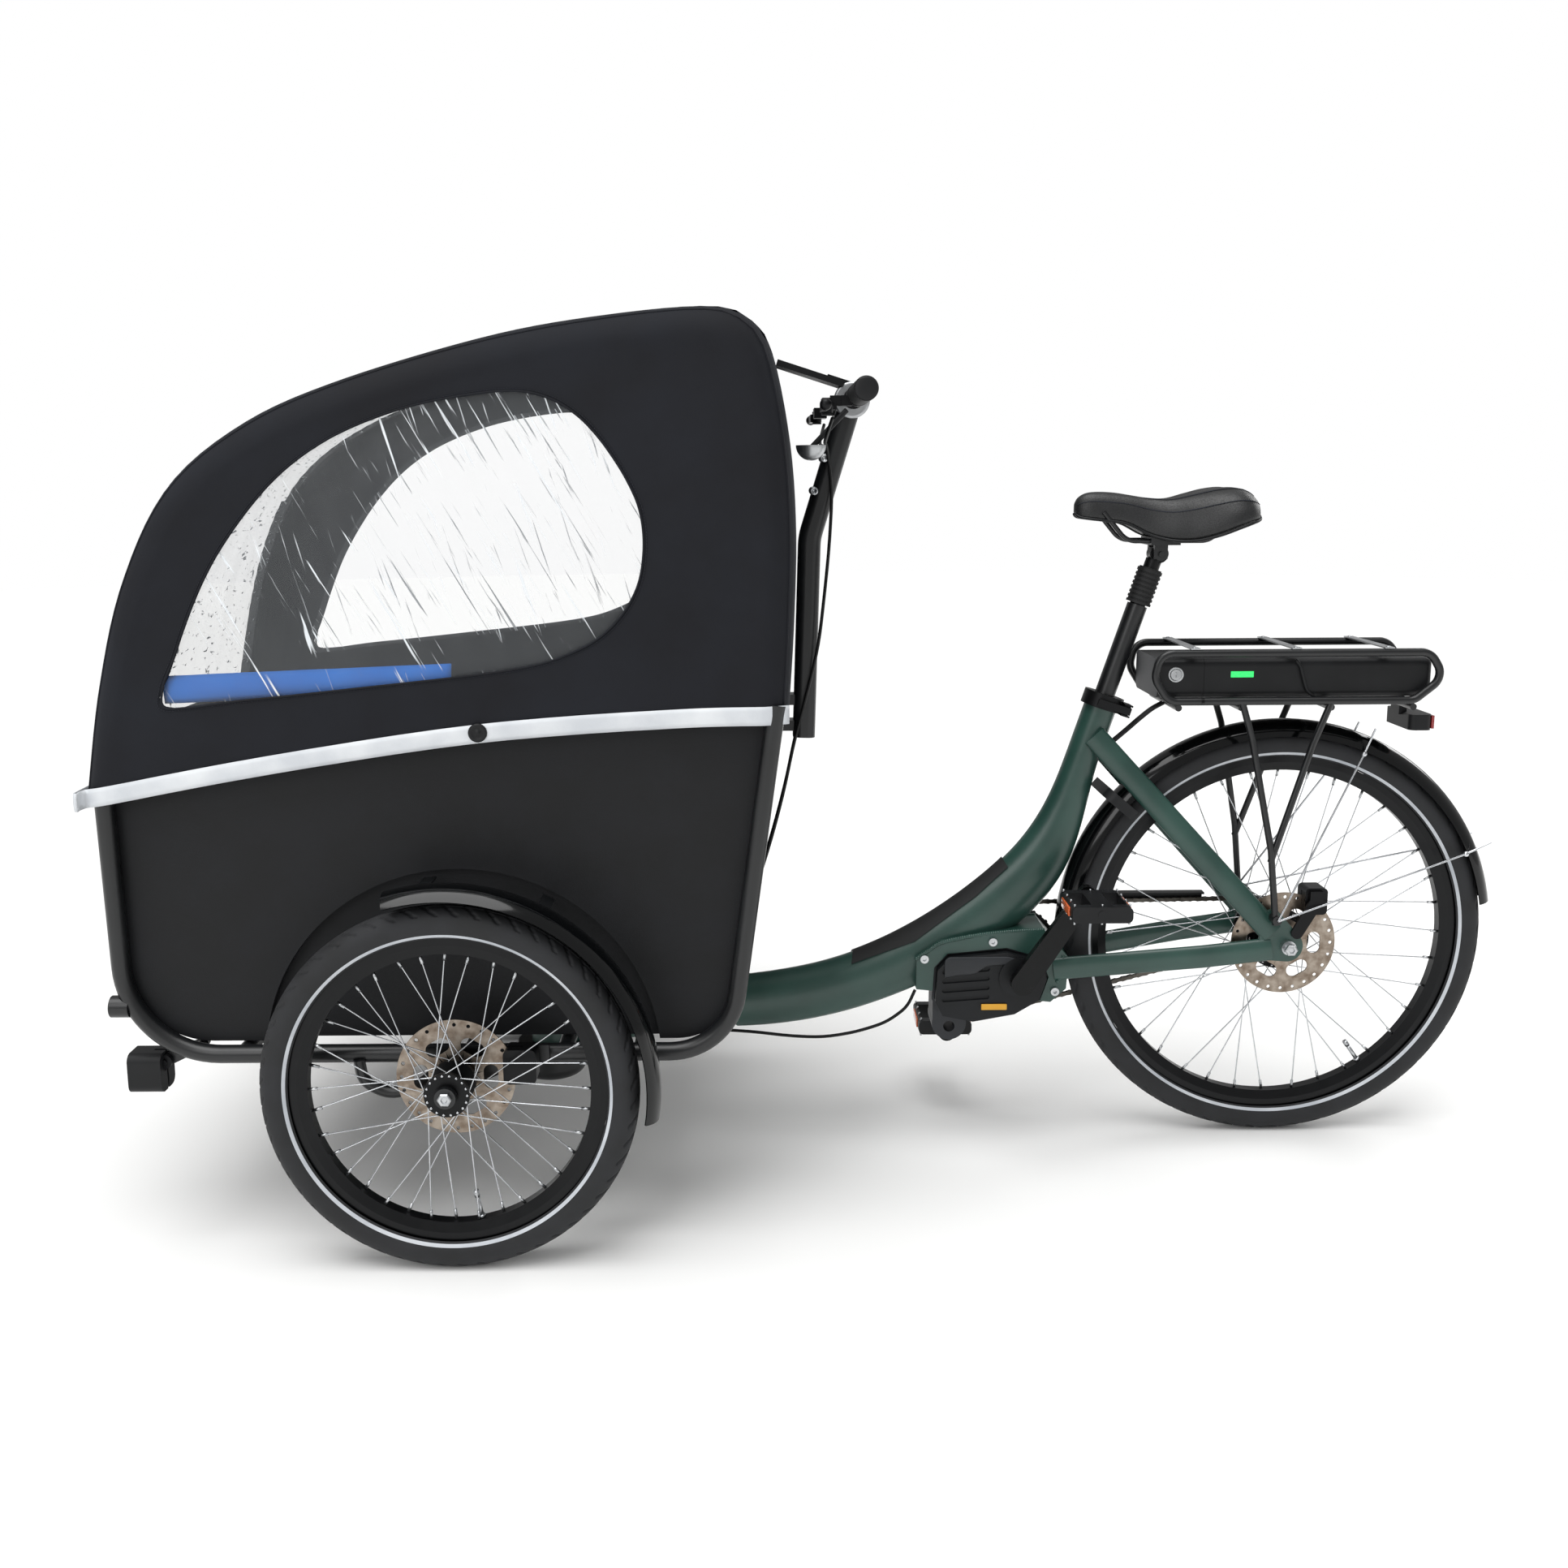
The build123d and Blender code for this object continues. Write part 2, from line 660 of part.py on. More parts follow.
# ---- crankset ----
def crank_end(side):
    angle = radians(crank_angle + (0 if side < 0 else 180))
    return crank_x + crank_length * cos(angle), crank_z + crank_length * sin(angle)


def crankset():
    spindle = across(crank_x, crank_z, -78, 78, spindle_radius)
    solids = spindle
    for side in (-1, 1):
        x, z = crank_end(side)
        arm = hull_plate([(crank_x, crank_z, 18), (x, z, 14)], side * 74, side * 88)
        arm -= across(x, z, -100, 100, 7 + running_clearance)
        solids += arm
    return solids


def chainring():
    teeth = Circle(chainring_radius - 3) + PolarLocations(chainring_radius - 4, 42) * Circle(3)
    teeth -= PolarLocations(52, 5) * SlotOverall(36, 24, rotation=90)
    ring_plate = Pos(crank_x, crank_z) * (teeth - Circle(spindle_radius + touch))
    return side_prism(ring_plate, chainline - 1.2, chainline + 1.2)


def pedal(side):
    x, z = crank_end(side)
    y_in, y_out = side * 91, side * 190
    axle = across(x, z, side * 74.5, y_out, 7)
    body = block(x, (y_in + y_out) / 2 + side * 3, z, 88, 92, 24)
    body = fillet(body.edges().filter_by(Axis.Y), 8)
    for dx in (-26, 26):
        body -= block(x + dx, (y_in + y_out) / 2 + side * 3, z, 24, 62, 60)
    return body + axle


# ---- front carriage ----
rail_corners = [(-463, 640), (-455, rail_height), (366, rail_height), (433, 745)]
rail_bends = [128, 94]


def carriage_frame():
    frame = None
    bumpers = []
    for side in (-1, 1):
        y = side * rail_offset
        loop = tube([(x, y, z) for x, z in rail_corners], rail_radius, rail_bends)
        frame = loop if frame is None else frame + loop
        bumper = Plane(origin=(-474, y, 335), z_dir=(1, 0, 0)) * extrude(Circle(15), 26)
        bumpers.append(bumper - loop)
    for x in (-300, 10, 140, 245):
        frame += across(x, rail_height, -rail_offset, rail_offset, cross_tube_radius)
    frame += block(steering_axis_x, 0, 262, 150, 130, 10)
    frame += across_z(steering_axis_x, head_tube_top + body_clearance, 262, 34)
    frame += across_z(steering_axis_x, head_cup_bottom + 12, 262, kingpin_radius)
    for side in (-1, 1):
        frame += lamp_bracket(side)
    return [frame, *bumpers]


lamp_pivot_x = -418
lamp_pivot_z = 246


def lamp_bracket(side):
    y = side * (rail_offset - 30)
    arm = across(-366, rail_height + 4, side * (rail_offset - 40), side * rail_offset, 7)
    arm += hull_plate([(-366, rail_height + 4, 8), (lamp_pivot_x, lamp_pivot_z, 9)], y - 2, y + 2)
    return arm - across(lamp_pivot_x, lamp_pivot_z, y - 30, y + 30, 4 + running_clearance)


def head_lamp(side):
    y = side * (rail_offset - 30)
    body = block(-441, y, 233, 46, 48, 56)
    body = fillet(body.edges().filter_by(Axis.X), 12)
    body -= block(-404, y, 240, 60, 4 + 2 * body_clearance, 100)
    pin = across(lamp_pivot_x, lamp_pivot_z, y - 12, y + 12, 4)
    ears = None
    for shift in (-6, 6):
        ear = hull_plate([(-430, 236, 10), (lamp_pivot_x, lamp_pivot_z, 10)], y + shift - 3, y + shift + 3)
        ears = ear if ears is None else ears + ear
    return body + ears + pin


box_bottom = 280
box_rear_bottom = 368
box_rear_top = 428
box_rear_height = 732


def box_rear_wall(z):
    """How far back the leaning rear wall stands at a height."""
    lean = (box_rear_top - box_rear_bottom) / (box_rear_height - box_bottom)
    return box_rear_bottom + lean * (z - box_bottom)


def box_outline(inset):
    """The box's side view; the top follows the hood's hem."""
    low = box_bottom + inset
    points = [(-470 + inset, 622), (-457 + inset, low), (box_rear_bottom - inset, low),
              (box_rear_top - inset, box_rear_height)]
    lower = FilletPolyline(*points, radius=[118 - inset, 84 - inset])
    top = Spline(points[-1], (41, 709), points[0])
    return make_face(Curve([*lower.edges(), top]))


def cargo_box():
    outer = side_prism(box_outline(0), -box_half_width, box_half_width)
    inner_half = box_half_width - box_wall
    inner = side_prism(box_outline(box_wall), -inner_half, inner_half)
    arch = Pos(0, front_radius) * Circle(arch_radius)
    body = outer
    for side in (-1, 1):
        face = side * (box_half_width - arch_depth)
        body -= side_prism(arch, face, side * (box_half_width + 50))
    grown = Pos(0, front_radius) * Circle(arch_radius + box_wall)
    for side in (-1, 1):
        face = side * (box_half_width - arch_depth - box_wall)
        inner -= side_prism(grown, face, side * (box_half_width + 50))
    body -= inner
    mouth = side_prism(box_outline(box_wall), -inner_half, inner_half)
    return body - Pos(0, 0, 30) * mouth.split(Plane.XY.offset(560), keep=Keep.TOP)


def hood_side(inset):
    front = [(hood_front + inset, 612), (-432 + inset, 907 - inset), (-368 + inset, 1031 - inset),
             (-266 + inset / 2, 1115 - inset), (-137, 1171 - inset), (64, 1229 - inset),
             (221, 1255 - inset), (350 - inset / 2, 1264 - inset)]
    rear = [(432 - inset, 1200 - inset / 2), (461 - inset, 975), (450 - inset, 721)]
    crown = Spline(*front)
    shoulder = Spline(front[-1], (402 - inset * 0.8, 1243 - inset * 0.8), rear[0])
    back = Spline(*rear)
    hem = Spline(rear[-1], (41, 699), front[0])
    return make_face(Curve([crown, shoulder, back, hem]))


def hood_section(inset):
    """The hood seen from the front: sides that lean in to a rounded roof."""
    half = hood_half_width - inset
    top = 1268 - inset
    points = [(-half, 560), (-half, 760), (-half + 44, top), (half - 44, top), (half, 760), (half, 560)]
    outline = FilletPolyline(*points, radius=[500, 70 - inset, 70 - inset, 500])
    return make_face(Curve([*outline.edges(), Line(points[-1], points[0])]))


def hood():
    def solid(inset):
        front_view = Plane(origin=(-700, 0, 0), x_dir=(0, 1, 0), z_dir=(1, 0, 0)) * hood_section(inset)
        return extrude(front_view, 1400) & side_prism(hood_side(inset), -400, 400)
    inner = solid(hood_wall)
    return solid(0) - inner - Pos(0, 0, -hood_wall / 2) * inner


def fender_bar(side, angle):
    """A flat bar from the box side to the fender's inner edge."""
    radius = 262
    x = radius * cos(radians(angle))
    z = front_radius + radius * sin(radians(angle))
    length = track / 2 - 26 - box_half_width
    bar = block(0, side * (box_half_width + length / 2), 0, 18, length, 3)
    return Pos(x, 0, z) * Rot(0, 90 - angle, 0) * bar


def front_fender(side):
    arc = ThreePointArc((-31, 262), (0, 278), (31, 262))
    inner = ThreePointArc((29, 260.5), (0, 275.5), (-29, 260.5))
    section = make_face(Curve([arc, Line(arc @ 1, inner @ 0), inner, Line(inner @ 1, arc @ 0)]))
    return ring(0, side * track / 2, front_radius, section, -9, 115)


def wheel_bracket(side):
    """Hub carrier: plate welded to the side rail, stub axle, hooked front arm and fender bars."""
    face = rail_offset + rail_radius
    plate = hull_plate([(0, front_radius, 30), (-40, rail_height, 14), (70, rail_height, 14)],
                       side * (face - 1), side * (face + 7))
    axle = across(0, front_radius, side * face, side * (track / 2 + 36), stub_axle_radius)
    nut = across(0, front_radius, side * (track / 2 + 29 + body_clearance), side * (track / 2 + 36), 14)
    hook = tube([(-30, side * (face + 1), 246), (-62, side * (face + 1), 222), (-100, side * (face + 1), 212),
                 (-134, side * (face + 1), 232), (-138, side * (face + 1), 262)], 8)
    bracket = plate + axle + nut + hook
    mount = block(92, side * (face + 4), 272, 60, 8, 24)
    bracket += mount
    for angle in (62, 98):
        bracket += fender_bar(side, angle)
    return bracket


def front_caliper(side):
    centre = side * (track / 2 - front_rotor_offset)
    inner_face = side * (rail_offset + rail_radius + 8)
    body = block(88, centre, 268, 44, 30, 48)
    body = fillet(body.edges().filter_by(Axis.Y), 8)
    body -= block(60, centre, 262, 62, rotor_thickness + 2 * body_clearance, 90)
    foot = block(96, (centre - side * 13 + inner_face) / 2, 274, 24, abs(centre - side * 13 - inner_face), 18)
    return body + foot


# ---- handlebar ----
standoff_height = 16


def handle_post():
    path = FilletPolyline((478, 0, 646), (487, 0, 950), (bar_x, 0, bar_z), radius=90)
    section = Plane(origin=path @ 0, x_dir=(0, 1, 0), z_dir=path % 0) * RectangleRounded(44, 34, 12)
    post = sweep(section, path=path)
    post += across(bar_x, bar_z, -22, 22, 25)
    for z in (664, 704):
        wall = box_rear_wall(z + standoff_height / 2) + touch
        post += block((wall + 472) / 2, 0, z, 472 - wall, 30, standoff_height)
    for x, z in ((508, 1068), (493, 1020)):
        post += across(x, z, -28, 28, 4)
    return post - across(bar_x, bar_z, -40, 40, bar_radius + touch)


def handlebar():
    bar = across(bar_x, bar_z, -bar_half_length, bar_half_length, bar_radius, bar_radius - 2.5)
    grips = []
    for side in (-1, 1):
        grip = across(bar_x, bar_z, side * (bar_half_length - grip_length), side * (bar_half_length + 4),
                      grip_radius)
        grips.append(grip - across(bar_x, bar_z, -bar_half_length, bar_half_length, bar_radius + touch))
    return group(bar, grips)


lever_pivot_x = bar_x - 44
lever_pivot_z = bar_z - 18


def lever_y(side):
    return side * (bar_half_length - grip_length - 26)


def lever_mount(side):
    """The master cylinder and its clamp round the bar."""
    y = lever_y(side)
    clamp = across(bar_x, bar_z, y - 9, y + 9, 16, bar_radius + touch)
    body = block(lever_pivot_x + 4, y - side * 16, lever_pivot_z + 6, 20, 54, 16)
    neck = block(bar_x - 24, y, bar_z - 8, 30, 16, 14)
    neck -= across(bar_x, bar_z, y - 20, y + 20, bar_radius + touch)
    mount = clamp + neck + body
    mount -= block(lever_pivot_x, y + side * 16, lever_pivot_z, 40, 20, 60)
    for shift in (-8.5, 8.5):
        mount += block(lever_pivot_x, y + side * 12, lever_pivot_z + shift, 14, 22, 2.6)
    return mount + rod((lever_pivot_x, y + side * 16, lever_pivot_z - 9),
                       (lever_pivot_x, y + side * 16, lever_pivot_z + 9), 2.6)


def brake_lever(side):
    y = lever_y(side) + side * 16
    pivot = Pos(lever_pivot_x, y, lever_pivot_z)
    hub = pivot * Pos(0, 0, -6.5) * extrude(Circle(8), 13)
    blade = block(lever_pivot_x - 6, y + side * 48, lever_pivot_z, 8, 96, 12)
    tip = Pos(lever_pivot_x - 6, y + side * 98, lever_pivot_z) * Sphere(8)
    return hub + blade + tip - pivot * Pos(0, 0, -9) * extrude(Circle(2.6 + running_clearance), 18)


def bar_display():
    """A slim display, tilted towards the rider, on an arm from the bar."""
    slab = Pos(487, 0, 1191) * Rot(0, 18, 0) * Box(102, 62, 9)
    arm = Pos(532, 0, 1180) * Rot(0, 18, 0) * Box(40, 16, 10)
    return slab + arm - across(bar_x, bar_z, -30, 30, 25 + touch)


def bell():
    dome = Pos(bar_x - 62, -70, bar_z - 66) * (Sphere(22) - Box(60, 60, 40, align=(Align.CENTER, Align.CENTER, Align.MIN)))
    stem = rod((bar_x - 60, -70, bar_z - 68), (bar_x - 10, -70, bar_z - 16), 4)
    clamp = across(bar_x, bar_z, -78, -62, 15, bar_radius + touch)
    return group(dome, stem + clamp - across(bar_x, bar_z, -100, -40, bar_radius + touch))


hose_route = [(512, 1085), (520, 1020), (516, 940), (508, 860), (500, 790), (482, 715), (462, 640),
              (448, 570), (430, 500), (412, 440), (396, 400), (384.2, 374)]


def front_hoses():
    solids = []
    for y, shift in ((-30, 0), (30, 3)):
        route = [(bar_x - 34, y * 4.5, bar_z - 30), (bar_x - 44, y * 3.3, bar_z - 62)]
        route += [(x + shift, y, z) for x, z in hose_route]
        solids.append(cable("brake hose", route, 2.5))
    return solids


# ---- all pieces ----
parts["main_frame"] = main_frame()
parts["rear_stays"] = group(rear_stays())
parts["drive_unit"] = drive_unit()
parts["drive_cover"] = group(drive_cover(-1), drive_cover(1))
parts["bracket_bolts"] = group(bracket_bolts())
parts["tube_protector"] = tube_protector()
parts["head_cup"] = head_cup()
parts["seat_collar"] = seat_collar()
parts["rear_fender"] = rear_fender()
parts["fender_stays"] = group(fender_stays())
parts["carrier_frame"] = carrier_frame()
parts["carrier_bars"] = group(carrier_bars())
parts["battery_dock"] = battery_dock()
parts["battery_case"] = battery_case()
parts["key_cylinder"] = key_cylinder()
parts["tail_lamp"] = tail_lamp()
parts["ring_lock"] = ring_lock()
parts["chain_guard"] = chain_guard()
parts["rear_caliper"] = rear_caliper()
parts["rear_axle"] = rear_axle_set()
parts["chain"] = drive_chain()
parts["frame_cables"] = group(frame_cables())
parts["seat_post"] = seat_post()
parts["suspension_head"] = suspension_head()
parts["post_bellows"] = post_bellows()
parts["saddle_cradle"] = saddle_cradle()
parts["saddle"] = saddle()
parts["seat_lever"] = seat_lever()
parts["crankset"] = crankset()
parts["chainring"] = chainring()
parts["pedal_left"] = pedal(-1)
parts["pedal_right"] = pedal(1)
rear_wheel()
front_wheel("front_left", -1)
front_wheel("front_right", 1)
parts["carriage_frame"] = group(carriage_frame())
parts["cargo_box"] = cargo_box()
parts["hood"] = hood()
parts["front_fenders"] = group(front_fender(-1), front_fender(1))
parts["wheel_brackets"] = group(wheel_bracket(-1), wheel_bracket(1))
parts["front_calipers"] = group(front_caliper(-1), front_caliper(1))
parts["lamp_left"] = head_lamp(-1)
parts["lamp_right"] = head_lamp(1)
parts["handle_post"] = handle_post()
parts["handlebar"] = handlebar()
parts["lever_mounts"] = group(lever_mount(-1), lever_mount(1))
parts["brake_lever_left"] = brake_lever(-1)
parts["brake_lever_right"] = brake_lever(1)
parts["bar_fittings"] = group(bar_display(), bell())
parts["front_hoses"] = group(front_hoses())

os.makedirs("parts", exist_ok=True)
for name, made in parts.items():
    solids = group(made)
    placed = [solid.moved(Location((frame_shift, 0, 0))) for solid in solids]
    shape = placed[0] if len(placed) == 1 else Compound(placed)
    export_step(shape, f"parts/{name}.step")
print(f"frame_shift {frame_shift:.3f} mm, {len(parts)} pieces")
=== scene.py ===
import bmesh
import bpy
from collections import namedtuple
from math import acos, atan2, cos, exp, hypot, pi, radians, sin, sqrt
from mathutils import Matrix, Vector, noise


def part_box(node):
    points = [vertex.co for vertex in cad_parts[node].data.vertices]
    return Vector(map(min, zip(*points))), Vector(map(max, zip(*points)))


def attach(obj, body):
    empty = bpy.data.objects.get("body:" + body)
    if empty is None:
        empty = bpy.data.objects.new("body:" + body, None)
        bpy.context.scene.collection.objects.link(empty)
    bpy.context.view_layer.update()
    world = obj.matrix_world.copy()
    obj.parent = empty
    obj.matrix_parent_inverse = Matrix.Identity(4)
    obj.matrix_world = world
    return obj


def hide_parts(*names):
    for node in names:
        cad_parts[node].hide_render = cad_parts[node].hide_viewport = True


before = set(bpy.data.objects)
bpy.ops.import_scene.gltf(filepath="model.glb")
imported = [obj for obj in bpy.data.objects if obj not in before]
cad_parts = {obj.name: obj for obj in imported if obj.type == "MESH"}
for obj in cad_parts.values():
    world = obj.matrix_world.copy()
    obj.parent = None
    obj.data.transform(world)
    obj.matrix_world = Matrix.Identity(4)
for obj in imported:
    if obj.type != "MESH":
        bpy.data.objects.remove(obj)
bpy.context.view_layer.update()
print("frame loaded:", len(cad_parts), "nodes")

# The finished look of a front-box cargo tricycle, built round its CAD frame.
# Metres, +X towards the rear wheel, +Z up. Pieces are placed from the frame's own boxes;
# at(x, y, z) takes millimetres with x measured from the front axles.


def middle(node):
    low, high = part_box(node)
    return (low + high) / 2


frontAxle = middle("front_left_rim")
frontAxleRight = middle("front_right_rim")
rearAxle = middle("rear_rim")


def at(x, y, z):
    return Vector((frontAxle.x + x / 1000, y / 1000, z / 1000))


# small helpers
bothSides = ((-1, "left"), (1, "right"))


def hexColour(text):
    # sRGB hex to linear, with alpha 1
    values = []
    for k in (1, 3, 5):
        c = int(text[k:k + 2], 16) / 255
        values.append(c / 12.92 if c <= 0.04045 else ((c + 0.055) / 1.055) ** 2.4)
    return (*values, 1)


Surface = namedtuple("Surface", "material node_tree shader coords")


# a link may come from a socket, or from a node, which stands for its first output
def outputOf(source):
    return source.outputs[0] if hasattr(source, "outputs") else source


# a node in a material's or the world's tree; a texture follows the surface's own coordinates
def addNode(owner, kind, settings=None, links=None, **fields):
    node = owner.node_tree.nodes.new(kind)
    for field, value in fields.items():
        setattr(node, field, value)
    for socket, value in (settings or {}).items():
        node.inputs[socket].default_value = value
    sources = dict(links or {})
    if kind.startswith("ShaderNodeTex"):
        sources.setdefault("Vector", owner.coords)
    for socket, source in sources.items():
        owner.node_tree.links.new(outputOf(source), node.inputs[socket])
    return node


def newMaterial(name, colour, metallic=0.0, roughness=0.5, **sockets):
    material = bpy.data.materials.new(name)
    material.use_nodes = True
    tree = material.node_tree
    shader = tree.nodes["Principled BSDF"]
    shader.inputs["Base Color"].default_value = hexColour(colour)
    shader.inputs["Metallic"].default_value = metallic
    shader.inputs["Roughness"].default_value = roughness
    for socket, value in sockets.items():
        shader.inputs[socket.replace("_", " ")].default_value = value
    return Surface(material, tree, shader, tree.nodes.new("ShaderNodeTexCoord").outputs["Object"])


def perMillimetre(size):
    # texture scale for a pattern that repeats every so many millimetres
    return 1000 / size


def link(made, source, socket):
    made.node_tree.links.new(outputOf(source), made.shader.inputs[socket])


def mottle(made, colours, size, detail=4.0, spread=(0.35, 0.65)):
    # soft colour variation between two close tones
    cloud = addNode(made, "ShaderNodeTexNoise", {"Scale": perMillimetre(size), "Detail": detail})
    ramp = addNode(made, "ShaderNodeValToRGB", links={"Fac": cloud})
    for stop, place, colour in zip(ramp.color_ramp.elements, spread, colours):
        stop.position = place
        stop.color = hexColour(colour)
    link(made, ramp, "Base Color")
    return cloud


def vary(made, source, low, high):
    # spread a 0-1 pattern between two roughness values
    spread = addNode(made, "ShaderNodeMapRange", {"To Min": low, "To Max": high}, {"Value": source})
    link(made, spread, "Roughness")


def raised(made, height, depth, strength=1.0):
    # bump of a real depth in millimetres
    bump = addNode(made, "ShaderNodeBump", {"Strength": strength, "Distance": depth / 1000},
                   {"Height": height})
    link(made, bump, "Normal")
    return bump


# materials
def powderCoat(name, colours, roughness, coat=0.0, peel=1.6):
    # powder coat on metal: an orange-peel skin with soft highlights, a little patchy in gloss
    made = newMaterial(name, colours[0], roughness=roughness, Coat_Weight=coat,
                       Coat_Roughness=0.25)
    cloud = mottle(made, colours, 90)
    vary(made, cloud, roughness - 0.06, roughness + 0.08)
    skin = addNode(made, "ShaderNodeTexNoise", {"Scale": perMillimetre(peel), "Detail": 2.0})
    raised(made, skin, 0.04, 0.7)
    return made.material


def mouldedPlastic(name, colours, roughness, grain=0.9, depth=0.06):
    # moulded ABS or nylon: an even spark-eroded grain and a broad dull highlight
    made = newMaterial(name, colours[0], roughness=roughness, Specular_IOR_Level=0.3)
    cloud = mottle(made, colours, 60)
    vary(made, cloud, roughness - 0.07, roughness + 0.07)
    skin = addNode(made, "ShaderNodeTexVoronoi", {"Scale": perMillimetre(grain)})
    raised(made, skin, depth, 0.6)
    return made.material


def glossPlastic(name, colour):
    # injection-moulded gloss polycarbonate: sharp reflections, faint waviness and dust
    made = newMaterial(name, colour, roughness=0.12, Specular_IOR_Level=0.28,
                       Coat_Weight=0.2, Coat_Roughness=0.03)
    dust = addNode(made, "ShaderNodeTexNoise", {"Scale": perMillimetre(35), "Detail": 8.0})
    vary(made, dust, 0.05, 0.22)
    wave = addNode(made, "ShaderNodeTexNoise", {"Scale": perMillimetre(55), "Detail": 1.0})
    raised(made, wave, 0.6, 0.35)
    return made.material


def brightMetal(name, colours, roughness, grind=0.5, depth=0.03):
    # turned, drawn or plated metal: fine tool marks that blur the reflection
    made = newMaterial(name, colours[0], metallic=1.0, roughness=roughness)
    cloud = mottle(made, colours, 25, 6.0)
    vary(made, cloud, roughness - 0.08, roughness + 0.1)
    marks = addNode(made, "ShaderNodeTexNoise", {"Scale": perMillimetre(grind), "Detail": 3.0})
    raised(made, marks, depth, 0.5)
    return made.material


def anodisedBlack(name, colour="#0e0f11", roughness=0.32):
    # black anodised aluminium: half metallic, a fine bead-blasted bite and rubbed edges
    made = newMaterial(name, colour, metallic=0.55, roughness=roughness)
    blast = addNode(made, "ShaderNodeTexNoise", {"Scale": perMillimetre(0.8), "Detail": 3.0})
    raised(made, blast, 0.03, 0.5)
    rub = addNode(made, "ShaderNodeTexNoise", {"Scale": perMillimetre(18), "Detail": 6.0})
    vary(made, rub, roughness - 0.1, roughness + 0.12)
    return made.material


def vulcanisedRubber(name, colours, roughness=0.72, grain=1.4):
    # rubber: matt, slightly dusty, with a fine cloth-mould texture
    made = newMaterial(name, colours[0], roughness=roughness)
    cloud = mottle(made, colours, 45, 8.0)
    vary(made, cloud, roughness - 0.1, roughness + 0.12)
    skin = addNode(made, "ShaderNodeTexNoise", {"Scale": perMillimetre(grain), "Detail": 4.0})
    raised(made, skin, 0.12, 0.7)
    return made.material


def rotorSteel(name, axle):
    # ground stainless rotor, browned by heat and pad wear, with marks that run round the axle
    made = newMaterial(name, "#8c7f72", metallic=1.0, roughness=0.34)
    fromAxle = addNode(made, "ShaderNodeVectorMath", {1: axle}, {0: made.coords}, operation="SUBTRACT")
    flat = addNode(made, "ShaderNodeVectorMath", {1: (1, 0, 1)}, {0: fromAxle},
                   operation="MULTIPLY")
    radius = addNode(made, "ShaderNodeVectorMath", links={0: flat},
                     operation="LENGTH")
    rings = addNode(made, "ShaderNodeMath", {1: perMillimetre(0.9) * 2 * pi},
                    {0: radius.outputs["Value"]}, operation="MULTIPLY")
    wave = addNode(made, "ShaderNodeMath", links={0: rings}, operation="SINE")
    raised(made, wave, 0.03, 0.5)
    mottle(made, ("#7a6c5f", "#a79c90"), 14, 6.0)
    return made.material


def polyesterCanvas(name, colours, thread=1.6):
    # solution-dyed polyester canvas: plain weave, PU-coated back, a faint dusty sheen.
    # The thread is drawn about three times as coarse as the real one, so that it shows.
    made = newMaterial(name, colours[0], roughness=0.78, Sheen_Weight=0.05,
                       Specular_IOR_Level=0.25, Sheen_Roughness=0.45)
    made.shader.inputs["Sheen Tint"].default_value = hexColour("#8d96a5")
    cloud = mottle(made, colours, 130, 9.0)
    split = addNode(made, "ShaderNodeSeparateXYZ", links={"Vector": made.coords})
    along = addNode(made, "ShaderNodeMath", links={0: split.outputs["X"], 1: split.outputs["Y"]},
                    operation="ADD")
    waves = []
    for source in (along, split.outputs["Z"]):
        turn = addNode(made, "ShaderNodeMath", {1: perMillimetre(thread) * 2 * pi}, {0: source},
                       operation="MULTIPLY")
        waves.append(addNode(made, "ShaderNodeMath", links={0: turn}, operation="SINE"))
    weave = addNode(made, "ShaderNodeMath", links={0: waves[0], 1: waves[1]}, operation="MULTIPLY")
    fine = raised(made, weave, 0.1, 0.35)
    pucker = addNode(made, "ShaderNodeBump", {"Strength": 0.5, "Distance": 0.004},
                     {"Height": cloud})
    made.node_tree.links.new(outputOf(pucker), fine.inputs["Normal"])
    vary(made, cloud, 0.7, 0.88)
    return made.material


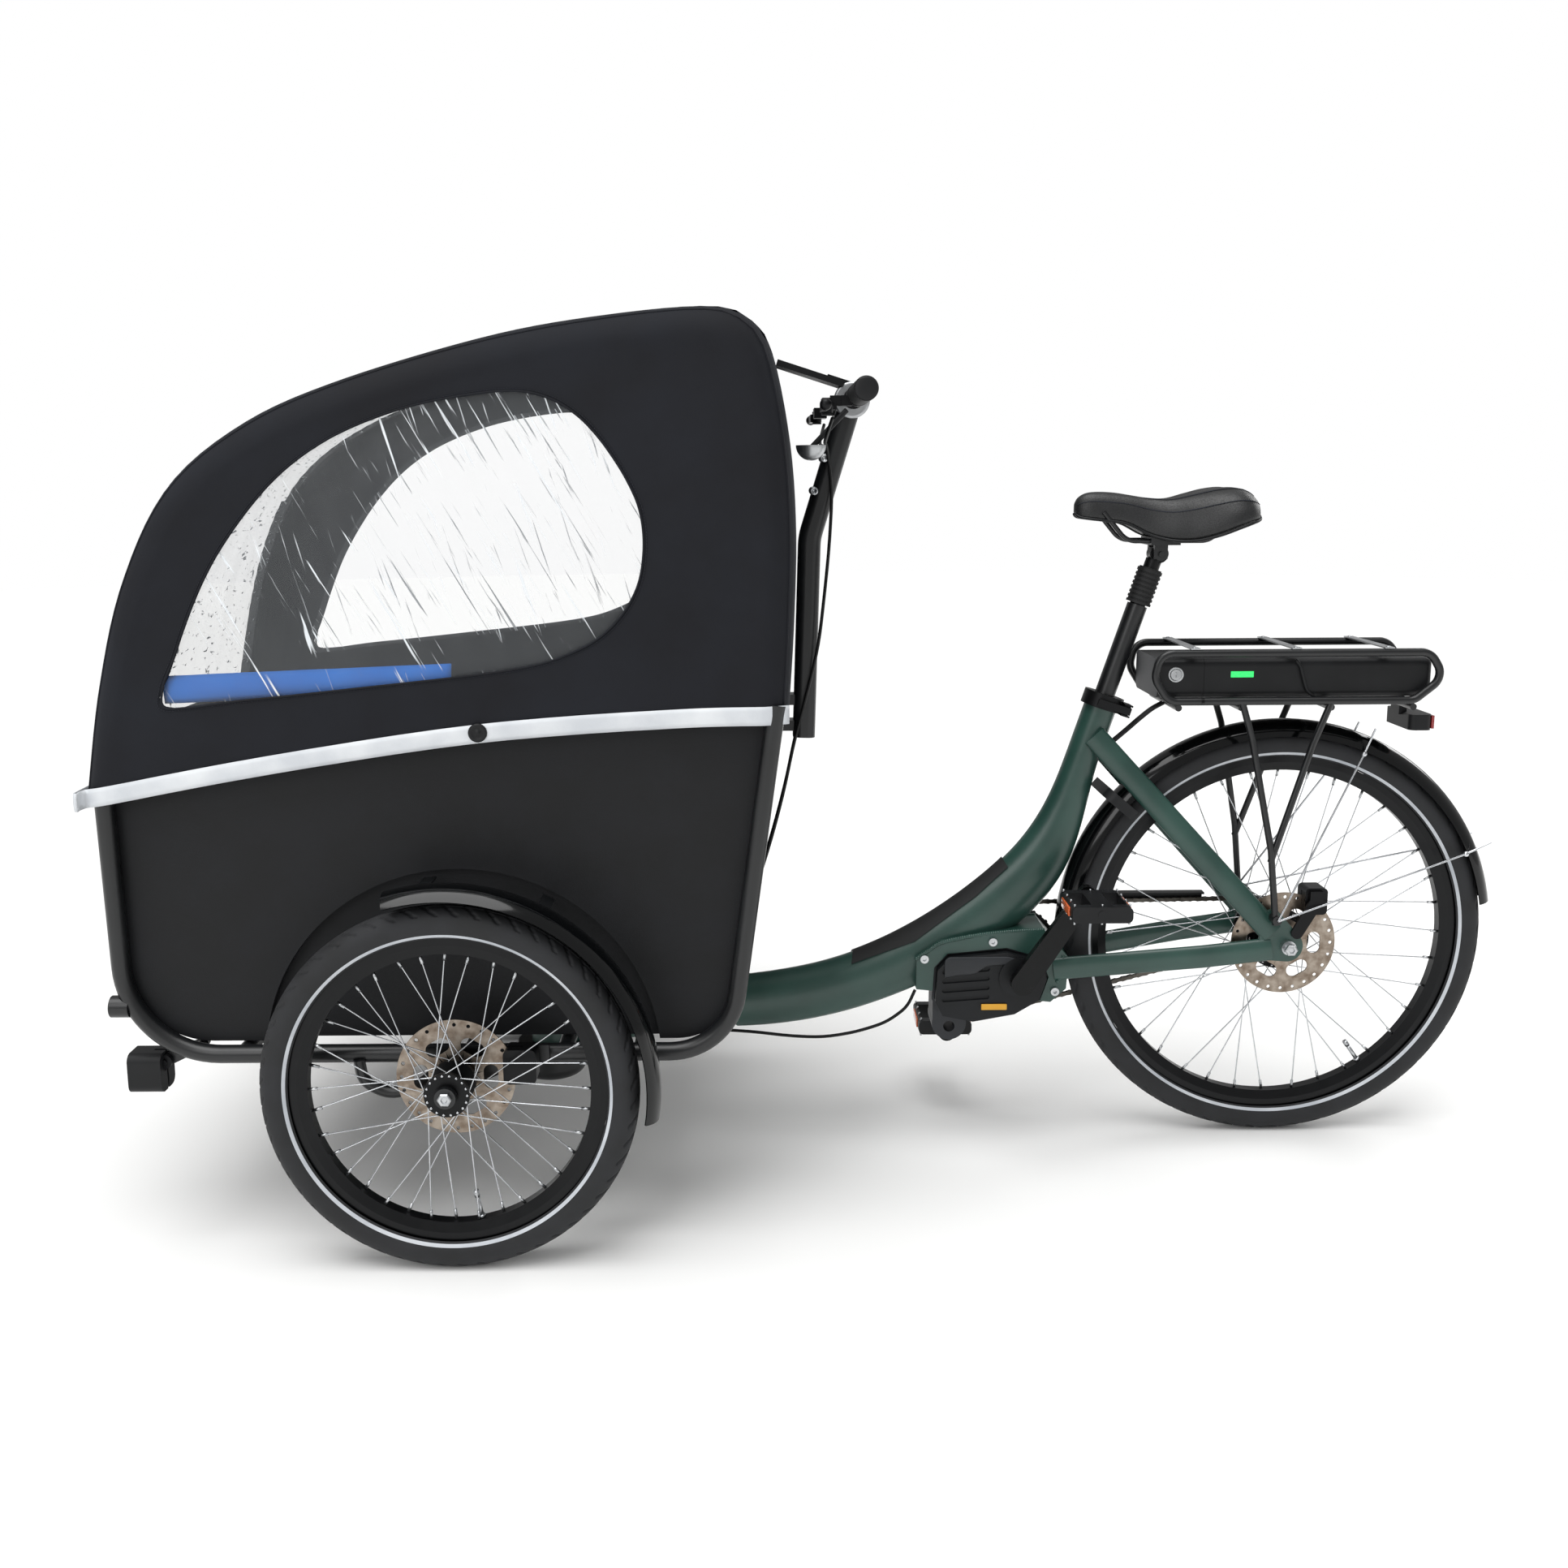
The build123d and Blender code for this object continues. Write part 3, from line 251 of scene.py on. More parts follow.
def clearVinyl(name):
    # pressed PVC sheet: clear and glossy. Its opacity carries white streaks, partly stress whitening along
    # folds and partly painted glints, and a painted reflection that grows at grazing angles
    # the near-white base colour is the colour of the crease whitening, the painted glints and the painted
    # reflection
    made = newMaterial(name, "#e9eef2", roughness=0.07, IOR=1.53)
    creaseAndGlintLines = []
    # streak noise: its thresholded lines are partly crease whitening and partly painted glints; the last one
    # also gives the real crease bump
    for tilt, squeeze, first, full in ((30, 26, 0.64, 0.69), (17, 16, 0.66, 0.72)):
        leaning = addNode(made, "ShaderNodeVectorRotate", {"Angle": radians(tilt)}, {"Vector": made.coords},
                          rotation_type="Y_AXIS")
        drawn = addNode(made, "ShaderNodeMapping", {"Scale": (squeeze, 6, 0.7)},
                        {"Vector": leaning})
        creaseAndGlintNoise = addNode(made, "ShaderNodeTexNoise",
                          {"Scale": perMillimetre(120), "Detail": 3.0, "Roughness": 0.5, "Distortion": 0.35},
                          {"Vector": drawn})
        creaseAndGlintLines.append(addNode(made, "ShaderNodeMapRange",
                             {"From Min": first, "From Max": full, "To Min": 0.0, "To Max": 0.9},
                             {"Value": creaseAndGlintNoise}))
    # white streaks in the alpha: partly stress whitening at the creases, partly painted glints
    creaseWhiteningAndPaintedGlints = addNode(made, "ShaderNodeMath", links={0: creaseAndGlintLines[0], 1: creaseAndGlintLines[1]}, operation="MAXIMUM")
    # painted reflection: the pale sheet turns more opaque towards grazing angles
    edge = addNode(made, "ShaderNodeLayerWeight", {"Blend": 0.35})
    paintedGrazingReflection = addNode(made, "ShaderNodeMapRange", {"To Min": 0.07, "To Max": 0.45},
                   {"Value": edge.outputs["Facing"]})
    cover = addNode(made, "ShaderNodeMath", links={0: creaseWhiteningAndPaintedGlints, 1: paintedGrazingReflection},
                    operation="ADD", use_clamp=True)
    # the alpha carries the crease whitening, the painted glints and the painted grazing reflection
    link(made, cover, "Alpha")
    raised(made, creaseAndGlintNoise, 4.0, 0.6)
    return made.material


def retroTape(name, colours=("#cdd1d6", "#e2e5e8")):
    # retroreflective tape: pale grey, a honeycomb of bonded cells under a satin film
    made = newMaterial(name, colours[0], metallic=0.05, roughness=0.5)
    cloud = mottle(made, colours, 70, 6.0)
    cells = addNode(made, "ShaderNodeTexVoronoi", {"Scale": perMillimetre(3.2)},
                    feature="DISTANCE_TO_EDGE")
    fine = raised(made, cells, 0.15, 0.5)
    ripple = addNode(made, "ShaderNodeBump", {"Strength": 0.5, "Distance": 0.003},
                     {"Height": cloud})
    made.node_tree.links.new(outputOf(ripple), fine.inputs["Normal"])
    return made.material


def pebbledLeather(name, colours):
    # synthetic saddle leather: small pebbles, satin between them
    made = newMaterial(name, colours[0], roughness=0.46, Coat_Weight=0.12,
                       Coat_Roughness=0.4)
    mottle(made, colours, 40)
    pebbles = addNode(made, "ShaderNodeTexVoronoi", {"Scale": perMillimetre(2.2)})
    raised(made, pebbles, 0.22, 0.8)
    vary(made, pebbles, 0.36, 0.6)
    return made.material


def moulded(name, colour, glow=0.0, roughness=0.12):
    # a clear moulded lens: prism ribs behind a smooth face
    made = newMaterial(name, colour, roughness=roughness, Coat_Weight=0.8)
    made.shader.inputs["Emission Color"].default_value = hexColour(colour)
    made.shader.inputs["Emission Strength"].default_value = glow
    ribs = addNode(made, "ShaderNodeTexVoronoi", {"Scale": perMillimetre(4)})
    raised(made, ribs, 0.6, 0.6)
    return made.material


greenCoat = powderCoat("satin_green_powder_coat", ("#213f38", "#2a4b43"), 0.36, 0.25, 2.2)
blackCoat = powderCoat("satin_black_powder_coat", ("#0d0e10", "#131517"), 0.36, 0.15)
fenderGloss = glossPlastic("gloss_black_polycarbonate", "#050607")
boxBoard = mouldedPlastic("grained_black_abs_board", ("#131416", "#18191c"), 0.62, 1.6, 0.1)
motorShell = powderCoat("painted_magnesium_casting", ("#1b1e22", "#24272c"), 0.5, 0.0, 2.6)
motorCover = mouldedPlastic("moulded_nylon_cover", ("#0f1113", "#16181b"), 0.5)
matBlackPlastic = mouldedPlastic("moulded_black_abs", ("#101113", "#17181a"), 0.48)
tyreRubber = vulcanisedRubber("tyre_rubber", ("#17181a", "#232427"))
softRubber = vulcanisedRubber("grip_rubber", ("#0c0d0e", "#151617"), 0.66, 2.4)
cableJacket = mouldedPlastic("cable_pvc_jacket", ("#0b0c0d", "#121314"), 0.42, 0.6, 0.03)
rimAnodised = anodisedBlack("anodised_rim_aluminium")
hubAnodised = anodisedBlack("anodised_hub_aluminium", "#0b0c0e", 0.4)
crankForged = anodisedBlack("forged_crank_aluminium", "#0a0b0c", 0.3)
spokeSteel = brightMetal("drawn_stainless_steel", ("#b9bcc0", "#d4d6d9"), 0.24)
brightBolt = brightMetal("zinc_plated_steel", ("#aeb1b4", "#cfd1d3"), 0.3)
chainSteel = brightMetal("oiled_chain_steel", ("#4a4743", "#6b6761"), 0.38)
brushedBar = brightMetal("brushed_aluminium", ("#a9abad", "#c4c6c8"), 0.36)
frontRotorSteel = rotorSteel("ground_rotor_steel_front", frontAxle)
rearRotorSteel = rotorSteel("ground_rotor_steel_rear", rearAxle)
hoodCanvas = polyesterCanvas("navy_black_polyester_canvas", ("#15161b", "#1c1e24"))
blueWebbing = polyesterCanvas("blue_rim_webbing", ("#0f5fb4", "#1a70c8"))
windowVinyl = clearVinyl("clear_pressed_vinyl")
stripTape = retroTape("hem_reflective_tape")
tyreReflex = retroTape("tyre_reflective_band", ("#b3b8bf", "#ced2d7"))
saddleLeather = pebbledLeather("saddle_synthetic_leather", ("#0f1011", "#17181a"))
redLens = moulded("red_tail_lens", "#8e0d10")
clearLens = moulded("clear_head_lamp_lens", "#cfd6dc")
greenLight = moulded("green_charge_light", "#12c75a", 1.1)
orangeReflex = moulded("orange_pedal_reflector", "#e0611a", 0.0, 0.2)
amberPlate = mouldedPlastic("amber_moulded_plate", ("#d79a2c", "#e2aa3d"), 0.4)
darkGlass = moulded("display_glass", "#07080a", 0.0, 0.05)
greyCap = mouldedPlastic("grey_moulded_cap", ("#2c2e31", "#3a3c40"), 0.5)
stitchThread = mouldedPlastic("polyester_thread", ("#23252b", "#2d3038"), 0.8, 0.5)
print("materials made:", len(bpy.data.materials))


# piece makers
def newPiece(name, points, faces, material, body=None, smooth=True):
    mesh = bpy.data.meshes.new(name)
    mesh.from_pydata([tuple(p) for p in points], [], faces)
    mesh.validate()
    mesh.materials.append(material)
    piece = bpy.data.objects.new(name, mesh)
    bpy.context.scene.collection.objects.link(piece)
    for face in mesh.polygons:
        face.use_smooth = smooth
    if body:
        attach(piece, body)
    return piece


def modifier(piece, kind, **settings):
    made = piece.modifiers.new(kind.lower(), kind)
    for field, value in settings.items():
        setattr(made, field, value)
    return made


def gridFaces(rows, columns, closedRows=False, closedColumns=False, first=0):
    faces = []
    for i in range(rows if closedRows else rows - 1):
        for j in range(columns if closedColumns else columns - 1):
            a, b = i * columns + j, i * columns + (j + 1) % columns
            c, d = ((i + 1) % rows) * columns + (j + 1) % columns, ((i + 1) % rows) * columns + j
            faces.append((first + a, first + b, first + c, first + d))
    return faces


def catmullRom(a, b, c, d, t):
    return ((2 * b) + (c - a) * t + (2 * a - 5 * b + 4 * c - d) * t * t
            + (3 * b - a - 3 * c + d) * t ** 3) / 2


def smoothLine(points, count, closed=False):
    # an even run of points along a Catmull-Rom line through the given ones
    points = [Vector(p) for p in points]
    total = len(points) if closed else len(points) - 1
    dense = []
    for k in range(total):
        if closed:
            a, b, c, d = (points[(k + shift) % len(points)] for shift in (-1, 0, 1, 2))
        else:
            b, c = points[k], points[k + 1]
            a = points[k - 1] if k else b * 2 - c
            d = points[k + 2] if k + 2 < len(points) else c * 2 - b
        dense += [catmullRom(a, b, c, d, step / 24) for step in range(24)]
    dense.append(dense[0] if closed else points[-1])
    lengths = [0.0]
    for p, q in zip(dense, dense[1:]):
        lengths.append(lengths[-1] + (q - p).length)
    steps = count if closed else count - 1
    even, k = [], 0
    for step in range(count):
        target = lengths[-1] * step / steps
        while k < len(lengths) - 2 and lengths[k + 1] < target:
            k += 1
        gap = lengths[k + 1] - lengths[k]
        even.append(dense[k].lerp(dense[k + 1], (target - lengths[k]) / gap if gap else 0))
    return even


def sweptTube(path, radius, sides=8, closed=False, flat=1.0):
    # points and faces of a round or flattened bead along a path; flat squeezes it across
    points = []
    count = len(path)
    for k, p in enumerate(path):
        before = path[(k - 1) % count] if closed or k else p
        after = path[(k + 1) % count] if closed or k < count - 1 else p
        run = (after - before).normalized()
        side = run.cross(Vector((0, 1, 0)))
        if side.length < 0.1:
            side = run.cross(Vector((0, 0, 1)))
        side.normalize()
        up = side.cross(run)
        for s in range(sides):
            angle = 2 * pi * s / sides
            points.append(p + side * cos(angle) * radius + up * sin(angle) * radius * flat)
    faces = gridFaces(count, sides, closed, True)
    if not closed:
        faces.append(tuple(range(sides))[::-1])
        faces.append(tuple(range((count - 1) * sides, count * sides)))
    return points, faces


def latheAcross(centre, profile, sides=48, axis="Y"):
    # points and faces turned about an axis through centre from (along, radius) steps in metres
    points = []
    for along, radius in profile:
        for s in range(sides):
            angle = 2 * pi * s / sides
            if axis == "Y":
                points.append(centre + Vector((radius * cos(angle), along, radius * sin(angle))))
            else:
                points.append(centre + Vector((radius * cos(angle), radius * sin(angle), along)))
    faces = gridFaces(len(profile), sides, False, True)
    faces.append(tuple(range(sides))[::-1])
    faces.append(tuple(range((len(profile) - 1) * sides, len(profile) * sides)))
    return points, faces


def joined(parts):
    # several (points, faces) in one list
    points, faces = [], []
    for morePoints, moreFaces in parts:
        first = len(points)
        points.extend(morePoints)
        faces.extend([tuple(first + k for k in face) for face in moreFaces])
    return points, faces


def paint(node, *materials, where=None):
    # give a CAD node its materials; where(centre of a face) picks one by its number
    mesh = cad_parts[node].data
    mesh.materials.clear()
    for material in materials:
        mesh.materials.append(material)
    for face in mesh.polygons:
        face.material_index = where(face.center) if where else 0


# metal, plastic and rubber of the carried-over nodes
plainFinishes = [
    (greenCoat, "main_frame rear_stays"),
    (blackCoat, "carriage_frame wheel_brackets carrier_frame handle_post seat_post head_cup saddle_cradle"),
    (fenderGloss, "rear_fender front_fenders"),
    (boxBoard, "cargo_box"),
    (motorShell, "drive_unit"),
    (motorCover, "drive_cover"),
    (matBlackPlastic, "chain_guard ring_lock pedal_left pedal_right"),
    (softRubber, "tube_protector post_bellows"),
    (hubAnodised, "seat_collar rear_caliper front_calipers suspension_head seat_lever lever_mounts"),
    (hubAnodised, "brake_lever_left brake_lever_right"),
    (rimAnodised, "rear_rim front_left_rim front_right_rim"),
    (crankForged, "crankset chainring"),
    (brightBolt, "bracket_bolts rear_axle"),
    (spokeSteel, "fender_stays rear_spokes front_left_spokes front_right_spokes"),
    (chainSteel, "rear_sprocket chain"),
    (brushedBar, "carrier_bars key_cylinder"),
    (cableJacket, "frame_cables front_hoses"),
]
for finish, nodes in plainFinishes:
    for node in nodes.split():
        paint(node, finish)

# the rotor's distance from each wheel's middle plane, and the zone that counts as rotor
rotor = {"front": 0.038, "rear": 0.056, "halfZone": 0.0025, "hubShell": 0.024}


def paintHub(node, rotorY, axle, rotorMetal):
    def zone(p):
        away = hypot(p.x - axle.x, p.z - axle.z)
        return 1 if abs(p.y - rotorY) < rotor["halfZone"] and away > rotor["hubShell"] else 0
    paint(node, hubAnodised, rotorMetal, where=zone)


paintHub("front_left_hub", frontAxle.y + rotor["front"], frontAxle, frontRotorSteel)
paintHub("front_right_hub", frontAxleRight.y - rotor["front"], frontAxleRight, frontRotorSteel)
paintHub("rear_hub", -rotor["rear"], rearAxle, rearRotorSteel)

lensDepth = {"tail": 0.0045, "head": 0.0015}
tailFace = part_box("tail_lamp")[1].x - lensDepth["tail"]
paint("tail_lamp", matBlackPlastic, redLens, where=lambda p: 1 if p.x > tailFace else 0)
for lamp in ("lamp_left", "lamp_right"):
    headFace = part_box(lamp)[0].x + lensDepth["head"]
    paint(lamp, matBlackPlastic, clearLens, where=lambda p: 1 if p.x < headFace else 0)

chargeLight = {"middle": at(1131, 0, 746), "halfLength": 0.0172, "halfHeight": 0.0047, "depth": 0.0014}
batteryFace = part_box("battery_case")[0].y + chargeLight["depth"]


def lightOrCase(p):
    away = p - chargeLight["middle"]
    lit = abs(away.x) < chargeLight["halfLength"] and abs(away.z) < chargeLight["halfHeight"]
    return 1 if lit and p.y < batteryFace else 0


paint("battery_case", matBlackPlastic, greenLight, where=lightOrCase)
dockCapEnd = at(1011, 0, 0).x
paint("battery_dock", matBlackPlastic, greyCap, where=lambda p: 1 if p.x < dockCapEnd else 0)

# the handlebar's grips, and on its fittings the bell's bright arm and the display's glass
bar = {"centre": at(549, 0, 1152), "gripStart": 0.195, "bellFrom": 0.045, "bellAhead": 0.035,
       "bellBelow": 0.06, "glassAbove": 0.041, "glassAhead": 0.02, "glassHalf": 0.028}
paint("handlebar", blackCoat, softRubber, where=lambda p: 1 if abs(p.y) > bar["gripStart"] else 0)


def fittingPart(p):
    away = p - bar["centre"]
    if p.y < -bar["bellFrom"] and away.x < -bar["bellAhead"] and away.z < -bar["bellBelow"]:
        return 1
    onGlass = away.z > bar["glassAbove"] and away.x < -bar["glassAhead"] and abs(p.y) < bar["glassHalf"]
    return 2 if onGlass else 0


paint("bar_fittings", matBlackPlastic, brushedBar, darkGlass, where=fittingPart)
print("frame painted")

# wheels: where each turns, what holds its nuts, and its sizes in metres
frontWheel = {"nutBody": "front_carriage", "bead": 0.203, "flange": 0.027, "flangeOffset": 0.022,
              "nutReach": 0.036, "valve": -79}
wheels = {
    "front_left": {**frontWheel, "body": "front_wheel_left", "axle": frontAxle, "nutSides": (-1,)},
    "front_right": {**frontWheel, "body": "front_wheel_right", "axle": frontAxleRight, "nutSides": (1,)},
    "rear": {"nutBody": "rear_frame", "bead": 0.2795, "flange": 0.044, "flangeOffset": 0.032,
             "nutReach": 0.092, "valve": -55, "body": "rear_wheel", "axle": rearAxle, "nutSides": (-1, 1)},
}

# tyres: casing, blocks and reflective band; angles are in degrees from the tread's middle
tyre = {"width": 0.047, "wall": 0.0035, "rows": 640, "treadAngle": 56, "grooveDepth": 0.0019,
        "pitches": 56, "bandFrom": 118, "bandTo": 130, "foot": 137, "outsideSteps": 68, "insideSteps": 14,
        "rib": 9, "ribGroove": 13, "ribCut": 0.14, "shoulderGroove": (33, 36), "blockCut": 0.22}


def treadDepth(across, turn):
    # how deep the pattern is cut at an angle across the section and a place round the wheel
    side = abs(across)
    if side > tyre["treadAngle"]:
        return 0.0
    place = (turn * tyre["pitches"] + (0.5 if across > 0 else 0) + side / 60) % 1
    if tyre["rib"] < side < tyre["ribGroove"]:
        return 1.0
    if side <= tyre["rib"]:
        return 0.7 if place < tyre["ribCut"] and side > 4 else 0.0
    if tyre["shoulderGroove"][0] < side < tyre["shoulderGroove"][1]:
        return 0.8
    return 1.0 if place < tyre["blockCut"] else 0.0


def makeTyre(node, wheel):
    half, foot = tyre["width"] / 2, tyre["foot"]
    out, back = tyre["outsideSteps"], tyre["insideSteps"]
    section = [(-foot + k * 2 * foot / out, half) for k in range(out + 1)]
    section += [(foot - k * 2 * foot / back, half - tyre["wall"]) for k in range(back + 1)]
    points, rows, columns = [], tyre["rows"], len(section)
    for i in range(rows):
        turn = i / rows
        for angle, reach in section:
            r = reach - (treadDepth(angle, turn) * tyre["grooveDepth"] if reach == half else 0)
            away = wheel["bead"] + half + r * cos(radians(angle))
            points.append(wheel["axle"] + Vector((away * cos(2 * pi * turn), r * sin(radians(angle)),
                                                  away * sin(2 * pi * turn))))
    piece = newPiece(node + "_casing", points, gridFaces(rows, columns, True, True), tyreRubber)
    piece.data.materials.append(tyreReflex)
    for k, face in enumerate(piece.data.polygons):
        angle = section[k % columns][0]
        if k % columns < out and tyre["bandFrom"] <= abs(angle + 2) < tyre["bandTo"]:
            face.material_index = 1
    piece.data.set_sharp_from_angle(angle=radians(40))
    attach(piece, wheel["body"])
    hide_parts(node)


for word, wheel in wheels.items():
    makeTyre(word + "_tyre", wheel)

# nipples, spoke heads, axle nuts and valves; steps are (along the axle, radius)
wheelTrim = {"spokesPerSide": 18, "lead": 60, "nippleRadius": 0.0022, "nippleLength": 0.012,
             "rimDepth": 0.017, "rimStagger": 0.003, "crossing": 0.0009, "elbow": 0.0016,
             "headOut": 0.0031, "headRadius": 0.0021, "headHeight": 0.0012,
             "valveRadius": 0.0032, "valveLength": 0.03, "valveCap": 0.009, "valveCollar": 0.004,
             "nut": [(0.0, 0.0095), (0.004, 0.0095), (0.0052, 0.008), (0.0056, 0.0045), (0.0035, 0.0035)]}


def shortRod(start, end, radius, sides=8):
    return sweptTube([start, end], radius, sides)


def turnedSteps(centre, steps, sides, direction=1, axis="Y"):
    return latheAcross(centre, [(direction * along, radius) for along, radius in steps], sides, axis)


def makeWheelTrim(name, wheel):
    axle, nipples, heads = wheel["axle"], [], []
    seat = wheel["bead"] - wheelTrim["rimDepth"]
    for side in (-1, 1):
        for k in range(wheelTrim["spokesPerSide"]):
            lean = 1 if k % 2 == 0 else -1
            hubAngle = radians((k + (0.5 if side > 0 else 0)) * 360 / wheelTrim["spokesPerSide"])
            rimAngle = hubAngle + radians(lean * wheelTrim["lead"])
            foot = axle + Vector((cos(rimAngle) * seat, side * wheelTrim["rimStagger"]
                                  + lean * wheelTrim["crossing"], sin(rimAngle) * seat))
            flange = axle + Vector((cos(hubAngle), 0, sin(hubAngle))) * wheel["flange"]
            elbow = Vector((0, side * wheel["flangeOffset"] + lean * wheelTrim["elbow"], 0))
            toHub = (flange + elbow - foot).normalized()
            nipples.append(shortRod(foot, foot + toHub * wheelTrim["nippleLength"],
                                    wheelTrim["nippleRadius"], 6))
            head = flange + Vector((0, side * (wheel["flangeOffset"] + wheelTrim["headOut"]), 0))
            steps = [(0, wheelTrim["headRadius"]), (wheelTrim["headHeight"], wheelTrim["headRadius"] * 0.7)]
            heads.append(turnedSteps(head, steps, 8, side))
    newPiece(name + "_nipples", *joined(nipples), brightBolt, wheel["body"])
    newPiece(name + "_spoke_heads", *joined(heads), spokeSteel, wheel["body"])
    nuts = [turnedSteps(axle + Vector((0, side * wheel["nutReach"], 0)), wheelTrim["nut"], 6, side)
            for side in wheel["nutSides"]]
    newPiece(name + "_axle_nuts", *joined(nuts), brightBolt, wheel["nutBody"], smooth=False)
    out = Vector((cos(radians(wheel["valve"])), 0, sin(radians(wheel["valve"]))))
    base, radius = axle + out * seat, wheelTrim["valveRadius"]
    tip = base - out * wheelTrim["valveLength"]
    rods = [shortRod(base, base - out * wheelTrim["valveCollar"], radius * 1.5, 12),
            shortRod(base, tip, radius, 12),
            shortRod(tip, tip - out * wheelTrim["valveCap"], radius * 1.25, 12)]
    newPiece(name + "_valve", *joined(rods), brightBolt, wheel["body"])


for word, wheel in wheels.items():
    makeWheelTrim(word, wheel)
print("wheels dressed")

# the hood: one sewn shell with clear windows
# side outline in millimetres from the front axles: up the front, over the crown, down the back
hood = {"front": [(-494, 613), (-468, 760), (-430, 906), (-366, 1031), (-266, 1113), (-137, 1169),
                  (64, 1226), (221, 1252), (350, 1261), (402, 1243), (430, 1200)],
        "back": [(430, 1200), (452, 1090), (460, 975), (457, 850), (449, 722)],
        "hem": [(449, 722), (300, 719), (41, 701), (-240, 660), (-494, 613)],
        "halfWidth": 343, "leanFrom": 760, "roofHalfWidth": 303, "top": 1268, "edgeRadius": 42,
        "aroundUpper": 150, "aroundHem": 58, "acrossRoof": 34, "thickness": 1.4, "sag": 5.0,
        "slackOver": 0.07, "waveOver": 0.05, "stillBelow": 0.70, "waveFrom": 0.12, "inside": 0.0008}
sideWindow = {"outline": [(-368, 750), (-357, 800), (-305, 921), (-232, 1022), (-155, 1085), (-60, 1126),
                          (40, 1147), (118, 1149), (180, 1118), (232, 1052), (259, 985), (253, 905),
                          (212, 845), (150, 811), (70, 793), (-110, 773), (-260, 758)],
              "lap": 1.035, "depth": 3.0, "around": 180, "rings": 46, "hemAt": 1.004, "stitchAt": 1.018}
stitch = {"pitch": 0.0055, "length": 0.0034, "radius": 0.0005, "run": 2.5}
frontWindow = {"from": 0.05, "to": 0.56, "halfWidth": 244,
               "columns": 90, "rows": 120, "depth": 3.2, "ripple": 1.4}


def metres(points):
    return [Vector((frontAxle.x + x / 1000, 0, z / 1000)) for x, z in points]


upperEdge = smoothLine(metres(hood["front"] + hood["back"][1:]), hood["aroundUpper"])
hemEdge = smoothLine(metres(hood["hem"]), hood["aroundHem"] + 2)
sideLoop = upperEdge + hemEdge[1:-1]
windowCentre = sum(metres(sideWindow["outline"]), Vector()) / len(sideWindow["outline"])


def wallReach(z):
    # half the hood's width at a height
    lean = max(0.0, (z * 1000 - hood["leanFrom"]) / (hood["top"] - hood["leanFrom"]))
    return (hood["halfWidth"] - (hood["halfWidth"] - hood["roofHalfWidth"]) * lean ** 1.25) / 1000


def distanceToEdge(p):
    nearest = 1.0
    for a, b in zip(upperEdge[::2], upperEdge[2::2]):
        run = b - a
        t = min(1, max(0, (p - a).dot(run) / run.length_squared))
        nearest = min(nearest, (a + run * t - p).length)
    return nearest


def clothWave(p):
    # gentle slackness in millimetres: long folds off the window's corners and small puckers
    broad = noise.noise(Vector((p.x * 4.2, 3.1, p.z * 3.4)))
    fold = noise.noise(Vector((p.x * 16 + p.z * 7, p.y * 3, p.z * 2.2 - p.x)))
    pucker = noise.noise(Vector((p.x * 46, p.y * 40, p.z * 46)))
    return broad * 3.4 + fold * 1.7 + pucker * 0.35


def wallPoint(p, side):
    # a point of the side wall: it turns in to the roof near the outline
    edge = hood["edgeRadius"] / 1000
    gap = distanceToEdge(p)
    setIn = edge - sqrt(max(0.0, edge * edge - (edge - gap) ** 2)) if gap < edge else 0
    slack = min(1, gap / hood["slackOver"]) * hood["sag"] / 1000 * 0.5
    wave = (clothWave(Vector((p.x, side, p.z))) / 1000 - slack) * min(1, gap / hood["waveOver"])
    low = min(1.0, max(0.0, (p.z - hood["stillBelow"]) / hood["waveFrom"]))
    return Vector((p.x, side * (wallReach(p.z) - setIn + wave * low - hood["inside"]), p.z))


# the window's outline, read at the same bearings from its centre as the hood's outline
windowLine = smoothLine(metres(sideWindow["outline"]), 400, closed=True)
windowBearings = sorted((atan2(q.z - windowCentre.z, q.x - windowCentre.x), k)
                        for k, q in enumerate(windowLine))


def windowAt(p):
    bearing = atan2(p.z - windowCentre.z, p.x - windowCentre.x)
    after = next((k for k, (angle, _) in enumerate(windowBearings) if angle >= bearing), 0)
    low, first = windowBearings[after - 1]
    high, second = windowBearings[after]
    span = (high - low) % (2 * pi)
    t = ((bearing - low) % (2 * pi)) / span if span else 0
    return windowLine[first].lerp(windowLine[second], min(1, t))


windowLoop = [windowAt(p) for p in sideLoop]
edgeSteps, wallSteps = 7, 22


def ringPoint(outer, inner, k):
    # ring 0 lies on the outline, the last ring on the window's edge
    edge = hood["edgeRadius"] / 1000
    reach = (inner - outer).length
    if k <= edgeSteps:
        away = edge * (1 - cos(radians(90) * k / edgeSteps)) * min(1, reach / (2.2 * edge))
        return outer + (inner - outer) / reach * away
    start = edge * min(1, reach / (2.2 * edge))
    t = (k - edgeSteps) / wallSteps
    return outer + (inner - outer) / reach * (start + (reach - start) * t)


def roofDip(along, across):
    # the cloth hangs a little between its hoops
    hoops = sin(pi * min(1, max(0, along * 3.0 % 1))) ** 2
    return hood["sag"] / 1000 * hoops * (1 - across * across)


def faceOutwards(piece):
    shell = bmesh.new()
    shell.from_mesh(piece.data)
    bmesh.ops.recalc_face_normals(shell, faces=shell.faces)
    shell.to_mesh(piece.data)
    shell.free()


